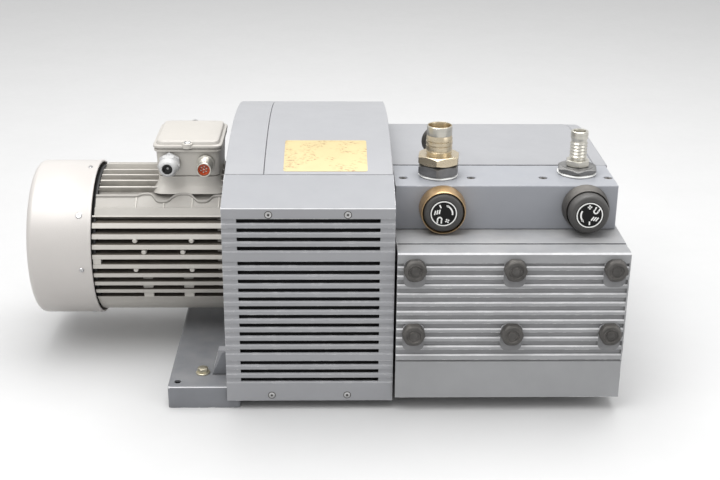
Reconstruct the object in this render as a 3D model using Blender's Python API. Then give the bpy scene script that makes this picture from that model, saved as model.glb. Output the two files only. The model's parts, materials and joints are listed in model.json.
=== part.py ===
"""A direct-driven rotary vane pump for vacuum and pressure: motor, fan housing, pump block.

Everything is in metres. The shaft runs along X from the motor (-X) to the pump (+X), the
regulating knobs point along -Y, and +Z is up. Sizes below are measured from the shaft's
middle plane (X, Y) and from the floor (Z). MACHINE, an empty that carries every piece, then
moves the whole machine so that the origin is the bottom centre of its bounding box.
"""

import math

import bmesh
import bpy
from mathutils import Matrix, Vector

GAP = 0.0003  # between two pieces that touch
SHAFT_Z = 0.150  # height of the shaft above the floor

# Motor
COWL_X = (-0.432, -0.3434)
COWL_RADIUS = 0.110
COWL_WALL = 0.0022
FRAME_X = (-0.336, -0.172)
FIN_TIP_RADIUS = 0.107
FIN_PITCH = 0.01375
FIN_GAP = 0.0074
FIN_GAPS_PER_SIDE = 9
FRAME_CORE_RADIUS = 0.086
FRAME_BORE_RADIUS = 0.078
BELLY_RADIUS = 0.1035
SHIELD_WALL = 0.010
MOTOR_SHAFT_RADIUS = 0.014
MOTOR_SHAFT_X = (-0.415, -0.075)

# Terminal box on the motor
TERMINAL_X = (-0.2565, -0.1680)
TERMINAL_Y = 0.0525
TERMINAL_Z = (0.2585, 0.2995)
LID_X = (-0.2598, -0.1648)
LID_Y = 0.056
LID_Z = (0.2998, 0.3092)
ENTRY_Z = 0.279
GLAND_X = -0.237
CONNECTOR_X = -0.1875

# Fan housing between the motor and the pump
HOUSING_X = (-0.1517, 0.0650)
HOUSING_Z = (0.0130, 0.2818)
HOUSING_FRONT = 0.2435  # the front panel's face is at -Y, the rear panel's at +Y
HOOD_CREST_Z = 0.3267
SHEET = 0.0035
HOOD_SEAM_Y = 0.1910
LID_SEAM_X = -0.1010
LID_REAR_Y = 0.1430
WALL = 0.006
SLOT_X = (-0.1330, 0.0465)
SLOT_HEIGHT = 0.0050
SLOT_PITCH = 0.01227
SLOT_GROUPS = ((0.2649, 4), (0.2078, 11), (0.0681, 3))  # top slot's height, slots below it

# Pump block
PUMP_X = (0.0680, 0.3622)
MANIFOLD_X = (0.0680, 0.3585)
MANIFOLD_Y = (-0.1674, -0.0793)
MANIFOLD_Z = (0.2249, 0.2850)
FILTER_Y = (-0.2178, -0.1060)
FILTER_Z = (0.0200, 0.2246)
COVER_FRONT_Y = -0.2501
END_PANEL_X = 0.3430
HOOD_BACK_Y = 0.2400
HOOD_FLAT_Y = 0.0750
HOOD_BEND_RADIUS = 0.2940
BOLT_X = (0.0902, 0.2165, 0.3432)
BOLT_Z = (0.2033, 0.1142)
BOLT_FLATS = 0.027
BOLT_HEAD = 0.0105

# Vane compressor
ROTOR_RADIUS = 0.060
ROTOR_X = (0.105, 0.285)
ECCENTRICITY = 0.008
CYLINDER_RADIUS = 0.096
VANES = 6
VANE_THICK = 0.005
VANE_DEPTH = 0.034
PUMP_SHAFT_RADIUS = 0.016

# Regulating valves: (name, X, Z, front of the valve body, front of the knob)
VALVES = (
    ("vacuum", 0.1295, 0.2558, -0.1904, -0.1918),
    ("pressure", 0.3160, 0.2570, -0.1874, -0.2010),
)
VALVE_BODY_RADIUS = 0.0305
KNOB_RADIUS = 0.0262
VALVE_BORE_RADIUS = 0.020

# Hose connections: (name, X, Y, hose radius, top, hex flats, reducer's flats, hex bottom, hex top)
PORTS = (
    ("vacuum", 0.1270, -0.1220, 0.0165, 0.3540, 0.0475, 0.0470, 0.3030, 0.3150),
    ("pressure", 0.3135, -0.1130, 0.0108, 0.3440, 0.0290, 0.0495, 0.2965, 0.3045),
)
PORT_BORE_RADIUS = 0.018

# Base
BASE_X = (-0.2301, 0.3300)
BASE_FOOT_X = -0.1350  # the wide foot ends here
BASE_Z = 0.0309
BASE_Y = (0.2387, 0.1900)  # half widths of the foot and of the rest
BASE_STEP = (0.0600, -0.1000)  # past this X, the base stays behind this Y
BASE_SHEET = 0.003
BASE_BOLT = (-0.1870, -0.1990)

SHIFT = Vector(
    (
        -(COWL_X[0] + PUMP_X[1]) / 2,
        -(COVER_FRONT_Y - 0.0004 - GAP - BOLT_HEAD + HOUSING_FRONT) / 2,
        0.0,
    )
)

# name: (red, green, blue), roughness, metallic
FINISHES = {
    "motor_paint": ((0.62, 0.60, 0.56), 0.45, 0.2),
    "grey_paint": ((0.30, 0.32, 0.34), 0.45, 0.1),
    "manifold_paint": ((0.24, 0.26, 0.29), 0.45, 0.1),
    "base_paint": ((0.26, 0.27, 0.29), 0.50, 0.1),
    "dark_steel": ((0.09, 0.085, 0.08), 0.55, 0.7),
    "bright_steel": ((0.60, 0.60, 0.60), 0.30, 1.0),
    "cast_iron": ((0.20, 0.20, 0.20), 0.60, 0.6),
    "aluminium": ((0.66, 0.67, 0.68), 0.40, 0.9),
    "brass": ((0.70, 0.55, 0.30), 0.30, 1.0),
    "nickel": ((0.66, 0.62, 0.52), 0.28, 1.0),
    "zinc": ((0.62, 0.58, 0.46), 0.40, 0.9),
    "knob_plastic": ((0.045, 0.043, 0.042), 0.50, 0.0),
    "fan_plastic": ((0.03, 0.03, 0.03), 0.55, 0.0),
    "gland_plastic": ((0.62, 0.62, 0.62), 0.45, 0.0),
    "carbon": ((0.05, 0.05, 0.055), 0.60, 0.1),
    "elastomer": ((0.45, 0.10, 0.05), 0.70, 0.0),
    "filter_paper": ((0.75, 0.70, 0.55), 0.90, 0.0),
}
AXES = {"X": Vector((1, 0, 0)), "Y": Vector((0, 1, 0)), "Z": Vector((0, 0, 1))}


def clear_scene():
    for obj in list(bpy.data.objects):
        bpy.data.objects.remove(obj, do_unlink=True)


def finish_material(finish):
    material = bpy.data.materials.get(finish)
    if material is None:
        color, roughness, metallic = FINISHES[finish]
        material = bpy.data.materials.new(finish)
        material.use_nodes = True
        shader = material.node_tree.nodes["Principled BSDF"]
        shader.inputs["Base Color"].default_value = (*color, 1.0)
        shader.inputs["Roughness"].default_value = roughness
        shader.inputs["Metallic"].default_value = metallic
        material.diffuse_color = (*color, 1.0)
    return material


def piece(name, bm, finish, origin=(0, 0, 0), smooth=30):
    """The mesh as a named object, with its origin where a moving piece turns or slides."""
    bmesh.ops.recalc_face_normals(bm, faces=bm.faces)
    bmesh.ops.translate(bm, verts=bm.verts, vec=-Vector(origin))
    mesh = bpy.data.meshes.new(name)
    bm.to_mesh(mesh)
    bm.free()
    obj = bpy.data.objects.new(name, mesh)
    bpy.context.scene.collection.objects.link(obj)
    obj.location = origin
    obj.parent = MACHINE
    if finish:
        mesh.materials.append(finish_material(finish))
        mesh.shade_smooth()
        mesh.set_sharp_from_angle(angle=math.radians(smooth))
    return obj


def boolean(obj, bm, operation):
    """Cuts the mesh from the object, or joins it on, with a modifier that stays on the object."""
    tool = piece(f"{obj.name}_{operation.lower()}_{len(obj.modifiers)}", bm, None)
    tool.hide_render = True
    tool.display_type = "WIRE"
    modifier = obj.modifiers.new(operation.title(), "BOOLEAN")
    modifier.operation = operation
    modifier.object = tool
    modifier.solver = "EXACT"


def cut(obj, *meshes):
    for bm in meshes:
        boolean(obj, bm, "DIFFERENCE")


def join(obj, *meshes):
    for bm in meshes:
        boolean(obj, bm, "UNION")


def merged(*meshes):
    """One mesh of several separate closed bodies, for a tool that cuts them all at once."""
    whole = bmesh.new()
    for bm in meshes:
        part = bpy.data.meshes.new("part")
        bm.to_mesh(part)
        bm.free()
        whole.from_mesh(part)
        bpy.data.meshes.remove(part)
    return whole


def block(x, y, z):
    """A box between two X, two Y and two Z values."""
    bm = bmesh.new()
    bmesh.ops.create_cube(bm, size=1.0)
    size = Vector((x[1] - x[0], y[1] - y[0], z[1] - z[0]))
    centre = Vector((x[0] + x[1], y[0] + y[1], z[0] + z[1])) / 2
    bmesh.ops.scale(bm, verts=bm.verts, vec=size)
    bmesh.ops.translate(bm, verts=bm.verts, vec=centre)
    return bm


def rounded(bm, width, segments=2, along="XYZ"):
    """Bevels the edges that run along the named axes."""
    edges = [
        edge
        for edge in bm.edges
        if any(
            abs((edge.verts[1].co - edge.verts[0].co).normalized().dot(AXES[axis])) > 0.99
            for axis in along
        )
    ]
    bmesh.ops.bevel(
        bm, geom=edges, offset=width, segments=segments, profile=0.5, affect="EDGES"
    )
    return bm


def prism(outline, axis, start, end):
    """An outline pushed along an axis. Its points are (Y, Z), (X, Z) or (X, Y)."""
    bm = bmesh.new()
    position = {
        "X": lambda a, b: (start, a, b),
        "Y": lambda a, b: (a, start, b),
        "Z": lambda a, b: (a, b, start),
    }[axis]
    face = bm.faces.new([bm.verts.new(position(a, b)) for a, b in outline])
    pushed = bmesh.ops.extrude_face_region(bm, geom=[face])["geom"]
    moved = [item for item in pushed if isinstance(item, bmesh.types.BMVert)]
    bmesh.ops.translate(bm, verts=moved, vec=AXES[axis] * (end - start))
    return bm


def turned(profile, axis, centre, steps=24, ring=False):
    """A profile of (distance along the axis, radius) turned about the axis through centre.

    A ring's profile is a closed loop that stays off the axis.
    """
    bm = bmesh.new()
    forward = AXES[axis]
    side = AXES["Z"] if axis != "Z" else AXES["X"]
    across = forward.cross(side)
    middle = Vector(centre)
    rings = []
    for along, radius in profile:
        if radius == 0:
            rings.append([bm.verts.new(middle + forward * along)] * steps)
            continue
        angles = [2 * math.pi * step / steps for step in range(steps)]
        rings.append(
            [
                bm.verts.new(
                    middle
                    + forward * along
                    + (side * math.cos(angle) + across * math.sin(angle)) * radius
                )
                for angle in angles
            ]
        )
    pairs = list(zip(rings, rings[1:]))
    if ring:
        pairs.append((rings[-1], rings[0]))
    for one, two in pairs:
        for step in range(steps):
            after = (step + 1) % steps
            corners = [one[step], one[after], two[after], two[step]]
            bm.faces.new(list(dict.fromkeys(corners)))
    return bm


def drum(radius, axis, centre, start, end, steps=24):
    profile = [(start, 0), (start, radius), (end, radius), (end, 0)]
    return turned(profile, axis, centre, steps)


def pipe(outer, inner, axis, centre, start, end, steps=24):
    profile = [(start, outer), (end, outer), (end, inner), (start, inner)]
    return turned(profile, axis, centre, steps, ring=True)


def nut(flats, axis, centre, start, end):
    """A hexagonal prism. A nut along Y or Z has two flats facing along X or Y."""
    return turned(
        [(start, 0), (start, flats / math.sqrt(3)), (end, flats / math.sqrt(3)), (end, 0)],
        axis,
        centre,
        6,
    )


def blades(count, inner, outer, x, thick, sweep, centre):
    """Flat fan blades round an X axis, each turned by sweep from the radial direction."""
    bm = bmesh.new()
    for index in range(count):
        blade = block(x, (-thick / 2, thick / 2), (0, outer - inner))
        bmesh.ops.rotate(blade, verts=blade.verts, matrix=Matrix.Rotation(sweep, 3, "X"))
        bmesh.ops.translate(blade, verts=blade.verts, vec=(0, 0, inner))
        turn = Matrix.Rotation(2 * math.pi * index / count, 3, "X")
        bmesh.ops.rotate(blade, verts=blade.verts, matrix=turn)
        bmesh.ops.translate(blade, verts=blade.verts, vec=centre)
        bm = merged(bm, blade)
    return bm


def coil(radius, wire, turns, axis_start, length, steps=10, sides=5):
    """A round wire wound about a Y axis, its ends closed, from axis_start towards -Y."""
    bm = bmesh.new()
    middle = Vector(axis_start)
    count = int(turns * steps)
    rings = []
    for index in range(count + 1):
        angle = 2 * math.pi * index / steps
        outward = Vector((math.cos(angle), 0, math.sin(angle)))
        point = middle + outward * radius + Vector((0, -length * index / count, 0))
        rings.append(
            [
                bm.verts.new(
                    point
                    + (outward * math.cos(turn) + AXES["Y"] * math.sin(turn)) * wire
                )
                for turn in (2 * math.pi * side / sides for side in range(sides))
            ]
        )
    for one, two in zip(rings, rings[1:]):
        for side in range(sides):
            after = (side + 1) % sides
            bm.faces.new([one[side], one[after], two[after], two[side]])
    bm.faces.new(rings[0])
    bm.faces.new(rings[-1])
    return bm


def arc(centre, radius, start, end, count):
    """Points on a circle from one angle to another, in degrees."""
    angles = [math.radians(start + (end - start) * i / count) for i in range(count + 1)]
    return [
        (centre[0] + radius * math.cos(a), centre[1] + radius * math.sin(a)) for a in angles
    ]


SHAFT = (0, 0, SHAFT_Z)


# ---------------------------------------------------------------- base


def make_base():
    wide, narrow = BASE_Y

    def tray(inset):
        left, foot, right = BASE_X[0] + inset, BASE_FOOT_X - inset, BASE_X[1] - inset
        step_x, step_y = BASE_STEP[0] - inset, BASE_STEP[1] + inset
        return [
            (left, -wide + inset),
            (foot, -wide + inset),
            (foot, -narrow + inset),
            (step_x, -narrow + inset),
            (step_x, step_y),
            (right, step_y),
            (right, narrow - inset),
            (foot, narrow - inset),
            (foot, wide - inset),
            (left, wide - inset),
        ]

    base = piece("base_plate", prism(tray(0), "Z", 0, BASE_Z), "base_paint")
    cut(base, prism(tray(BASE_SHEET), "Z", -0.01, BASE_Z - BASE_SHEET))
    holes = [
        drum(0.0035, "Z", (-0.2180, side * 0.2240, 0), 0.01, 0.05, 12) for side in (-1, 1)
    ]
    x, y = BASE_BOLT
    holes += [drum(0.0052, "Z", (x, side * -y, 0), 0.01, 0.05, 12) for side in (-1, 1)]
    cut(base, merged(*holes))
    bolt = merged(nut(0.0130, "Z", (x, y, BASE_Z + GAP), 0.0015, 0.0078))
    bolt = piece("base_bolt", bolt, "zinc")
    join(bolt, drum(0.0095, "Z", (x, y, BASE_Z + GAP), 0, 0.0022, 16))
    join(bolt, drum(0.0048, "Z", (x, y, 0), BASE_Z - BASE_SHEET, BASE_Z + 0.002, 12))


# ---------------------------------------------------------------- motor


def fin_outline():
    """The finned frame's section: parallel fins at the front, top and rear, plain below."""
    side = []
    for index in range(FIN_GAPS_PER_SIDE):
        middle = (index - (FIN_GAPS_PER_SIDE - 1) / 2) * FIN_PITCH
        floor = math.sqrt(FRAME_CORE_RADIUS**2 - middle**2)
        low, high = middle - FIN_GAP / 2, middle + FIN_GAP / 2
        side += [
            (math.sqrt(FIN_TIP_RADIUS**2 - low**2), low),
            (floor, low),
            (floor, high),
            (math.sqrt(FIN_TIP_RADIUS**2 - high**2), high),
        ]
    outline = []
    for quarter in range(3):
        cosine, sine = round(math.cos(quarter * math.pi / 2)), quarter % 2
        sine = sine if quarter < 3 else -1
        outline += [(a * cosine - b * sine, a * sine + b * cosine) for a, b in side]
        if quarter < 2:
            corner = arc((0, 0), FIN_TIP_RADIUS, 90 * quarter + 38, 90 * quarter + 52, 2)
            outline += corner
    outline += arc((0, 0), BELLY_RADIUS, 216, 324, 14)
    return [(y, SHAFT_Z + z) for y, z in outline]


def make_motor():
    frame = piece("stator_frame", prism(fin_outline(), "X", *FRAME_X), "motor_paint")
    cut(frame, drum(FRAME_BORE_RADIUS, "X", SHAFT, FRAME_X[0] - 0.01, FRAME_X[1] + 0.01, 32))
    pad = block((-0.2560, -0.1725), (-0.0500, 0.0500), (0.2300, 0.2580))
    join(frame, pad)
    cut(frame, block((-0.2450, -0.1850), (-0.0380, 0.0380), (0.2500, 0.2700)))

    core_x = (FRAME_X[0] + 0.028, FRAME_X[1] - 0.028)
    winding = [
        (core_x[0] - 0.020, 0.062),
        (core_x[0] - 0.020, 0.072),
        (core_x[0], 0.072),
        (core_x[0], FRAME_BORE_RADIUS - GAP),
        (core_x[1], FRAME_BORE_RADIUS - GAP),
        (core_x[1], 0.072),
        (core_x[1] + 0.020, 0.072),
        (core_x[1] + 0.020, 0.062),
        (core_x[1], 0.051),
        (core_x[0], 0.051),
    ]
    piece("stator_core", turned(winding, "X", SHAFT, 32, ring=True), "cast_iron")

    # each shield is a dished plate that carries a bearing
    for name, face, inward in (
        ("fan_end_shield", FRAME_X[0] - GAP, 1),
        ("drive_end_shield", FRAME_X[1] + GAP, -1),
    ):
        out = -inward
        reach = SHIELD_WALL if name == "fan_end_shield" else 0.020
        profile = [
            (face + out * reach, 0.0160),
            (face + out * reach, 0.0960),
            (face, 0.0960),
            (face, FRAME_BORE_RADIUS - GAP),
            (face + inward * 0.004, FRAME_BORE_RADIUS - GAP),
            (face + inward * 0.004, 0.0310),
            (face - inward * (reach - 0.004), 0.0310),
            (face - inward * (reach - 0.004), 0.0160),
        ]
        piece(name, turned(profile, "X", SHAFT, 32, ring=True), "motor_paint")

    bearings = (
        ("motor_bearing_fan", FRAME_X[0] + 0.0032, -0.0088),
        ("motor_bearing_drive", FRAME_X[1] - 0.0032, 0.0185),
    )
    for name, inner_face, depth in bearings:
        x = sorted((inner_face, inner_face + depth))
        make_bearing(name, x, 0.0305, MOTOR_SHAFT_RADIUS + GAP)

    make_cowl()
    make_terminal_box()
    make_motor_shaft()


def make_bearing(name, x, outer, inner):
    """A ball bearing's outline, with the groove between its rings at one side."""
    groove = 0.0015
    low, high = inner + 0.35 * (outer - inner), inner + 0.65 * (outer - inner)
    profile = [
        (x[0], inner),
        (x[0], low),
        (x[0] + groove, (low + high) / 2),
        (x[0], high),
        (x[0], outer),
        (x[1], outer),
        (x[1], inner),
    ]
    piece(name, turned(profile, "X", SHAFT, 24, ring=True), "bright_steel")


def make_cowl():
    """The fan cowl: a domed sheet cap, open towards the motor, with an inlet grille."""
    corner = 0.026
    back, front = COWL_X
    outer = [(back, 0)]
    outer += arc((back + corner, COWL_RADIUS - corner), corner, 180, 90, 4)
    outer += [(front, COWL_RADIUS)]
    inner_corner = corner - COWL_WALL
    inner = [(front, COWL_RADIUS - COWL_WALL)]
    inner += arc((back + corner, COWL_RADIUS - corner), inner_corner, 90, 180, 2)
    inner += [(back + COWL_WALL, 0)]
    cowl = piece("fan_cowl", turned(outer + inner, "X", SHAFT, 32), "motor_paint")
    slots = []
    for row in range(-2, 3):
        half = math.sqrt(0.068**2 - (row * 0.022) ** 2)
        height = SHAFT_Z + row * 0.022
        slots.append(
            block((back - 0.01, back + 0.01), (-half, half), (height - 0.003, height + 0.003))
        )
    cut(cowl, merged(*slots))


def make_terminal_box():
    x, z = TERMINAL_X, TERMINAL_Z
    y = (-TERMINAL_Y, TERMINAL_Y)
    box = rounded(block(x, y, z), 0.008, 3, "Z")
    box = piece("terminal_box", box, "motor_paint")
    wall = 0.004
    inside = block(
        (x[0] + wall, x[1] - wall), (y[0] + wall, y[1] - wall), (z[0] + wall, z[1] + 0.01)
    )
    cut(box, inside)
    cut(box, drum(0.018, "Z", ((x[0] + x[1]) / 2, 0, 0), z[0] - 0.01, z[0] + 0.01, 20))
    entries = [
        drum(0.0100, "Y", (GLAND_X, 0, ENTRY_Z), y[0] - 0.01, y[0] + 0.01, 18),
        drum(0.0080, "Y", (CONNECTOR_X, 0, ENTRY_Z), y[0] - 0.01, y[0] + 0.01, 18),
    ]
    cut(box, merged(*entries))

    lid = rounded(block(LID_X, (-LID_Y, LID_Y), (LID_Z[0], LID_Z[0] + 0.0050)), 0.010, 3, "Z")
    lid = piece("terminal_lid", lid, "motor_paint")
    step = 0.0042
    top = rounded(
        block(
            (LID_X[0] + step, LID_X[1] - step), (-LID_Y + step, LID_Y - step), (0.302, LID_Z[1])
        ),
        0.009,
        3,
        "Z",
    )
    join(lid, top)

    face = -TERMINAL_Y - GAP
    gland = [
        (face, 0.0068),
        (face, 0.0150),
        (face - 0.012, 0.0150),
        (face - 0.014, 0.0138),
        (face - 0.026, 0.0130),
        (face - 0.032, 0.0098),
        (face - 0.032, 0.0068),
    ]
    centre = (GLAND_X, 0, ENTRY_Z)
    gland = piece("cable_gland", turned(gland, "Y", centre, 18, ring=True), "gland_plastic")
    join(gland, pipe(0.0097, 0.0068, "Y", centre, face + 0.005, face - 0.004, 18))

    shell = [
        (face, 0.0040),
        (face, 0.0125),
        (face - 0.006, 0.0125),
        (face - 0.008, 0.0096),
        (face - 0.033, 0.0096),
        (face - 0.033, 0.0082),
        (face - 0.020, 0.0082),
        (face - 0.020, 0.0040),
    ]
    centre = (CONNECTOR_X, 0, ENTRY_Z)
    shell = piece("power_connector", turned(shell, "Y", centre, 18, ring=True), "nickel")
    join(shell, pipe(0.0077, 0.0040, "Y", centre, face + 0.005, face - 0.004, 18))


def make_motor_shaft():
    """The rotor with its shaft, the cooling fan on one end and the coupling half on the other."""
    start, end = MOTOR_SHAFT_X
    pack = (FRAME_X[0] + 0.028, FRAME_X[1] - 0.028)
    rotor = [
        (start, 0),
        (start, 0.010),
        (FRAME_X[0] - 0.012, 0.010),
        (FRAME_X[0] - 0.012, MOTOR_SHAFT_RADIUS),
        (pack[0], MOTOR_SHAFT_RADIUS),
        (pack[0], 0.0500),
        (pack[1], 0.0500),
        (pack[1], MOTOR_SHAFT_RADIUS),
        (end, MOTOR_SHAFT_RADIUS),
        (end, 0),
    ]
    piece("motor_rotor", turned(rotor, "X", SHAFT), "bright_steel", SHAFT)

    fan_x = (-0.4000, -0.3560)
    hub = [
        (fan_x[0], 0.0103),
        (fan_x[0], 0.0200),
        (fan_x[1] - 0.005, 0.0250),
        (fan_x[1] - 0.005, 0.0880),
        (fan_x[1] - 0.002, 0.0880),
        (fan_x[1] - 0.002, 0.0103),
    ]
    fan = piece("motor_fan", turned(hub, "X", SHAFT, ring=True), "fan_plastic", SHAFT)
    join(fan, blades(7, 0.016, 0.086, (fan_x[0], fan_x[1] - 0.004), 0.002, 0.0, SHAFT))

    hub = [
        (-0.1180, MOTOR_SHAFT_RADIUS + GAP),
        (-0.1180, 0.0300),
        (-0.0860, 0.0300),
        (-0.0860, 0.0420),
        (-0.0740, 0.0420),
        (-0.0740, MOTOR_SHAFT_RADIUS + GAP),
    ]
    half = turned(hub, "X", SHAFT, ring=True)
    half = piece("motor_coupling_half", half, "cast_iron", SHAFT)
    join(half, coupling_claws((-0.0750, -0.0600), 0))


def coupling_claws(x, turn):
    """Three claws, each a sixth of a turn wide."""
    claws = []
    for index in range(3):
        start = 120 * index + turn
        outline = arc((0, 0), 0.0420, start, start + 44, 4)
        outline += arc((0, 0), 0.0220, start + 44, start, 3)
        claws.append(prism([(y, SHAFT_Z + z) for y, z in outline], "X", *x))
    return merged(*claws)


# ---------------------------------------------------------------- fan housing


def hood_height(y, drop=0.0):
    """Height of the hood's arch, or of a surface that lies drop below it."""
    rise = HOOD_CREST_Z - HOUSING_Z[1]
    radius = (HOUSING_FRONT**2 + rise**2) / (2 * rise)
    return HOOD_CREST_Z - radius + math.sqrt((radius - drop) ** 2 - y**2)


def arch_points(start, end, drop, count):
    return [
        (y, hood_height(y, drop))
        for y in (start + (end - start) * i / count for i in range(count + 1))
    ]


def make_housing():
    """Two side walls and a floor, open at the front, the rear and the top."""
    reach = HOUSING_FRONT - SHEET - GAP
    floor = HOUSING_Z[0] + 0.0185

    def wall_outline(inset=0.0):
        rim = arch_points(reach, -reach, SHEET + GAP, 12)
        return [(-reach, floor), (reach, floor)] + rim

    x = HOUSING_X
    housing = prism(wall_outline(), "X", x[0], x[0] + WALL)
    housing = piece("fan_housing", housing, "grey_paint")
    join(housing, prism(wall_outline(), "X", x[1] - WALL, x[1]))
    join(
        housing,
        block((x[0] + 0.001, x[1] - 0.001), (-reach, reach), (floor, floor + WALL)),
    )
    cut(housing, drum(0.0970, "X", SHAFT, x[0] - 0.01, x[0] + WALL + 0.01, 40))
    cut(housing, drum(0.0350, "X", SHAFT, x[1] - WALL - 0.01, x[1] + 0.01, 32))
    # the foot that stands on the base beside the motor, at both sides
    for side in (-1, 1):
        y = sorted((side * 0.1900, side * 0.2030))
        foot = [(-0.1745, floor), (x[0] + 0.002, floor), (x[0] + 0.002, 0.0660), (-0.1650, 0.0660)]
        join(housing, prism(foot, "Y", *y))


def slot_heights():
    return [top - SLOT_PITCH * row for top, count in SLOT_GROUPS for row in range(count)]


def make_panels():
    """The front and rear panels: a flat slotted face that bends into the hood's shoulder."""
    for name, side in (("front_grille", -1), ("rear_grille", 1)):
        outer = [(HOUSING_FRONT, HOUSING_Z[0])]
        outer += arch_points(HOUSING_FRONT, HOOD_SEAM_Y + GAP, 0.0, 4)
        inner = arch_points(HOOD_SEAM_Y + GAP, HOUSING_FRONT - SHEET, SHEET, 4)
        inner += [(HOUSING_FRONT - SHEET, HOUSING_Z[0])]
        outline = [(side * y, z) for y, z in outer + inner]
        panel = piece(name, prism(outline, "X", *HOUSING_X), "grey_paint")
        face = sorted((side * (HOUSING_FRONT - 0.02), side * (HOUSING_FRONT + 0.02)))
        half = SLOT_HEIGHT / 2
        cut(panel, merged(*[block(SLOT_X, face, (z - half, z + half)) for z in slot_heights()]))


def make_hood():
    """The arched top, and the lid let into it."""
    seam = HOOD_SEAM_Y - GAP

    def arch(start, end, x):
        outline = arch_points(start, end, 0.0, 10) + arch_points(end, start, SHEET, 10)
        return prism(outline, "X", *x)

    right = HOUSING_X[1] - 0.001
    hood = piece("arched_hood", arch(-seam, seam, (HOUSING_X[0], right)), "grey_paint")
    lid_hole = block((LID_SEAM_X - 0.0008, right + 0.01), (-0.3, LID_REAR_Y + 0.0008), (0.2, 0.4))
    cut(hood, lid_hole)
    piece("hood_lid", arch(-seam, LID_REAR_Y, (LID_SEAM_X, right)), "grey_paint")


# ---------------------------------------------------------------- pump


def make_pump_shaft():
    """The slotted rotor with its shaft, the vanes, the cooling fan and the coupling half."""
    x = ROTOR_X
    rotor = [
        (-0.0550, 0),
        (-0.0550, PUMP_SHAFT_RADIUS),
        (x[0] + 0.0005, PUMP_SHAFT_RADIUS),
        (x[0] + 0.0005, ROTOR_RADIUS),
        (x[1] - 0.0005, ROTOR_RADIUS),
        (x[1] - 0.0005, PUMP_SHAFT_RADIUS),
        (x[1] + 0.0380, PUMP_SHAFT_RADIUS),
        (x[1] + 0.0380, 0),
    ]
    rotor = piece("pump_rotor", turned(rotor, "X", SHAFT, 36), "cast_iron", SHAFT)
    slots = []
    for index in range(VANES):
        half = VANE_THICK / 2 + GAP
        bottom = ROTOR_RADIUS - VANE_DEPTH - 0.0015
        slot = block(x, (-half, half), (bottom, ROTOR_RADIUS + 0.01))
        slots.append(turn_about_shaft(slot, vane_angle(index)))
    cut(rotor, merged(*slots))
    for index in range(VANES):
        half = VANE_THICK / 2
        inset = (x[0] + 0.0008, x[1] - 0.0008)
        vane = block(
            inset, (-half, half), (ROTOR_RADIUS - VANE_DEPTH, ROTOR_RADIUS - 0.0002)
        )
        piece(f"vane_{index + 1}", turn_about_shaft(vane, vane_angle(index)), "carbon", SHAFT)

    hub = [
        (0.0060, PUMP_SHAFT_RADIUS + GAP),
        (0.0060, 0.0320),
        (0.0420, 0.0320),
        (0.0420, 0.1120),
        (0.0450, 0.1120),
        (0.0450, PUMP_SHAFT_RADIUS + GAP),
    ]
    fan = piece("cooling_fan", turned(hub, "X", SHAFT, ring=True), "aluminium", SHAFT)
    join(fan, blades(10, 0.029, 0.108, (0.0080, 0.0430), 0.003, 0.35, SHAFT))

    hub = [
        (-0.0540, PUMP_SHAFT_RADIUS + GAP),
        (-0.0540, 0.0420),
        (-0.0420, 0.0420),
        (-0.0420, 0.0300),
        (-0.0050, 0.0300),
        (-0.0050, PUMP_SHAFT_RADIUS + GAP),
    ]
    half = turned(hub, "X", SHAFT, ring=True)
    half = piece("pump_coupling_half", half, "cast_iron", SHAFT)
    join(half, coupling_claws((-0.0700, -0.0530), 60))

    # the elastic star fills the spaces between the claws
    star = []
    for index in range(6):
        start = 60 * index + 46
        star += arc((0, 0), 0.0410, start, start + 12, 2)
        star += arc((0, 0), 0.0205, start + 12.7, start + 59.3, 3)
    star = prism([(y, SHAFT_Z + z) for y, z in star], "X", -0.0700, -0.0600)
    piece("coupling_star", star, "elastomer", SHAFT)


def vane_angle(index):
    return 2 * math.pi * (index + 0.5) / VANES


def turn_about_shaft(bm, angle):
    """Turns a mesh made above the X axis about it, then lifts it to the shaft's height."""
    bmesh.ops.rotate(bm, verts=bm.verts, matrix=Matrix.Rotation(angle, 3, "X"))
    bmesh.ops.translate(bm, verts=bm.verts, vec=SHAFT)
    return bm


def make_cylinder():
    """The cylinder with its eccentric bore, its two covers and their bearings."""
    x = (ROTOR_X[0] - GAP / 2, ROTOR_X[1] + GAP / 2)
    bore = ROTOR_RADIUS + ECCENTRICITY + GAP
    barrel = pipe(CYLINDER_RADIUS, bore, "X", SHAFT, *x, 44)
    for vert in barrel.verts:
        if math.hypot(vert.co.y, vert.co.z - SHAFT_Z) < bore + 0.001:
            vert.co.z -= ECCENTRICITY
    cylinder = piece("pump_cylinder", barrel, "cast_iron")
    ports = [
        block((0.1300, 0.1700), (-0.1100, -0.0400), (0.1350, 0.1650)),
        block((0.2200, 0.2600), (-0.0200, 0.0200), (0.1900, 0.2600)),
    ]
    cut(cylinder, merged(*ports))
    for edge in (x[0] + 0.010, x[1] - 0.040):
        foot = (edge, edge + 0.030)
        join(cylinder, block(foot, (-0.0400, 0.0400), (BASE_Z + GAP, SHAFT_Z - 0.0820)))

    covers = (
        ("drive_side_cover", x[0] - GAP, -0.0230),
        ("outer_side_cover", x[1] + GAP, 0.0230),
    )
    for name, face, depth in covers:
        out = math.copysign(1, depth)
        seat = face + out * 0.0060
        end = face + depth
        profile = [
            (face, PUMP_SHAFT_RADIUS + 0.001),
            (face, CYLINDER_RADIUS),
            (end, CYLINDER_RADIUS - 0.004),
            (end, 0.0260),
            (seat, 0.0260),
            (seat, PUMP_SHAFT_RADIUS + 0.001),
        ]
        piece(name, turned(profile, "X", SHAFT, 32, ring=True), "cast_iron")
        bearing = sorted((seat + out * GAP, seat + out * 0.0150))
        make_bearing(name.replace("cover", "bearing"), bearing, 0.0257, PUMP_SHAFT_RADIUS + GAP)


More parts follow.
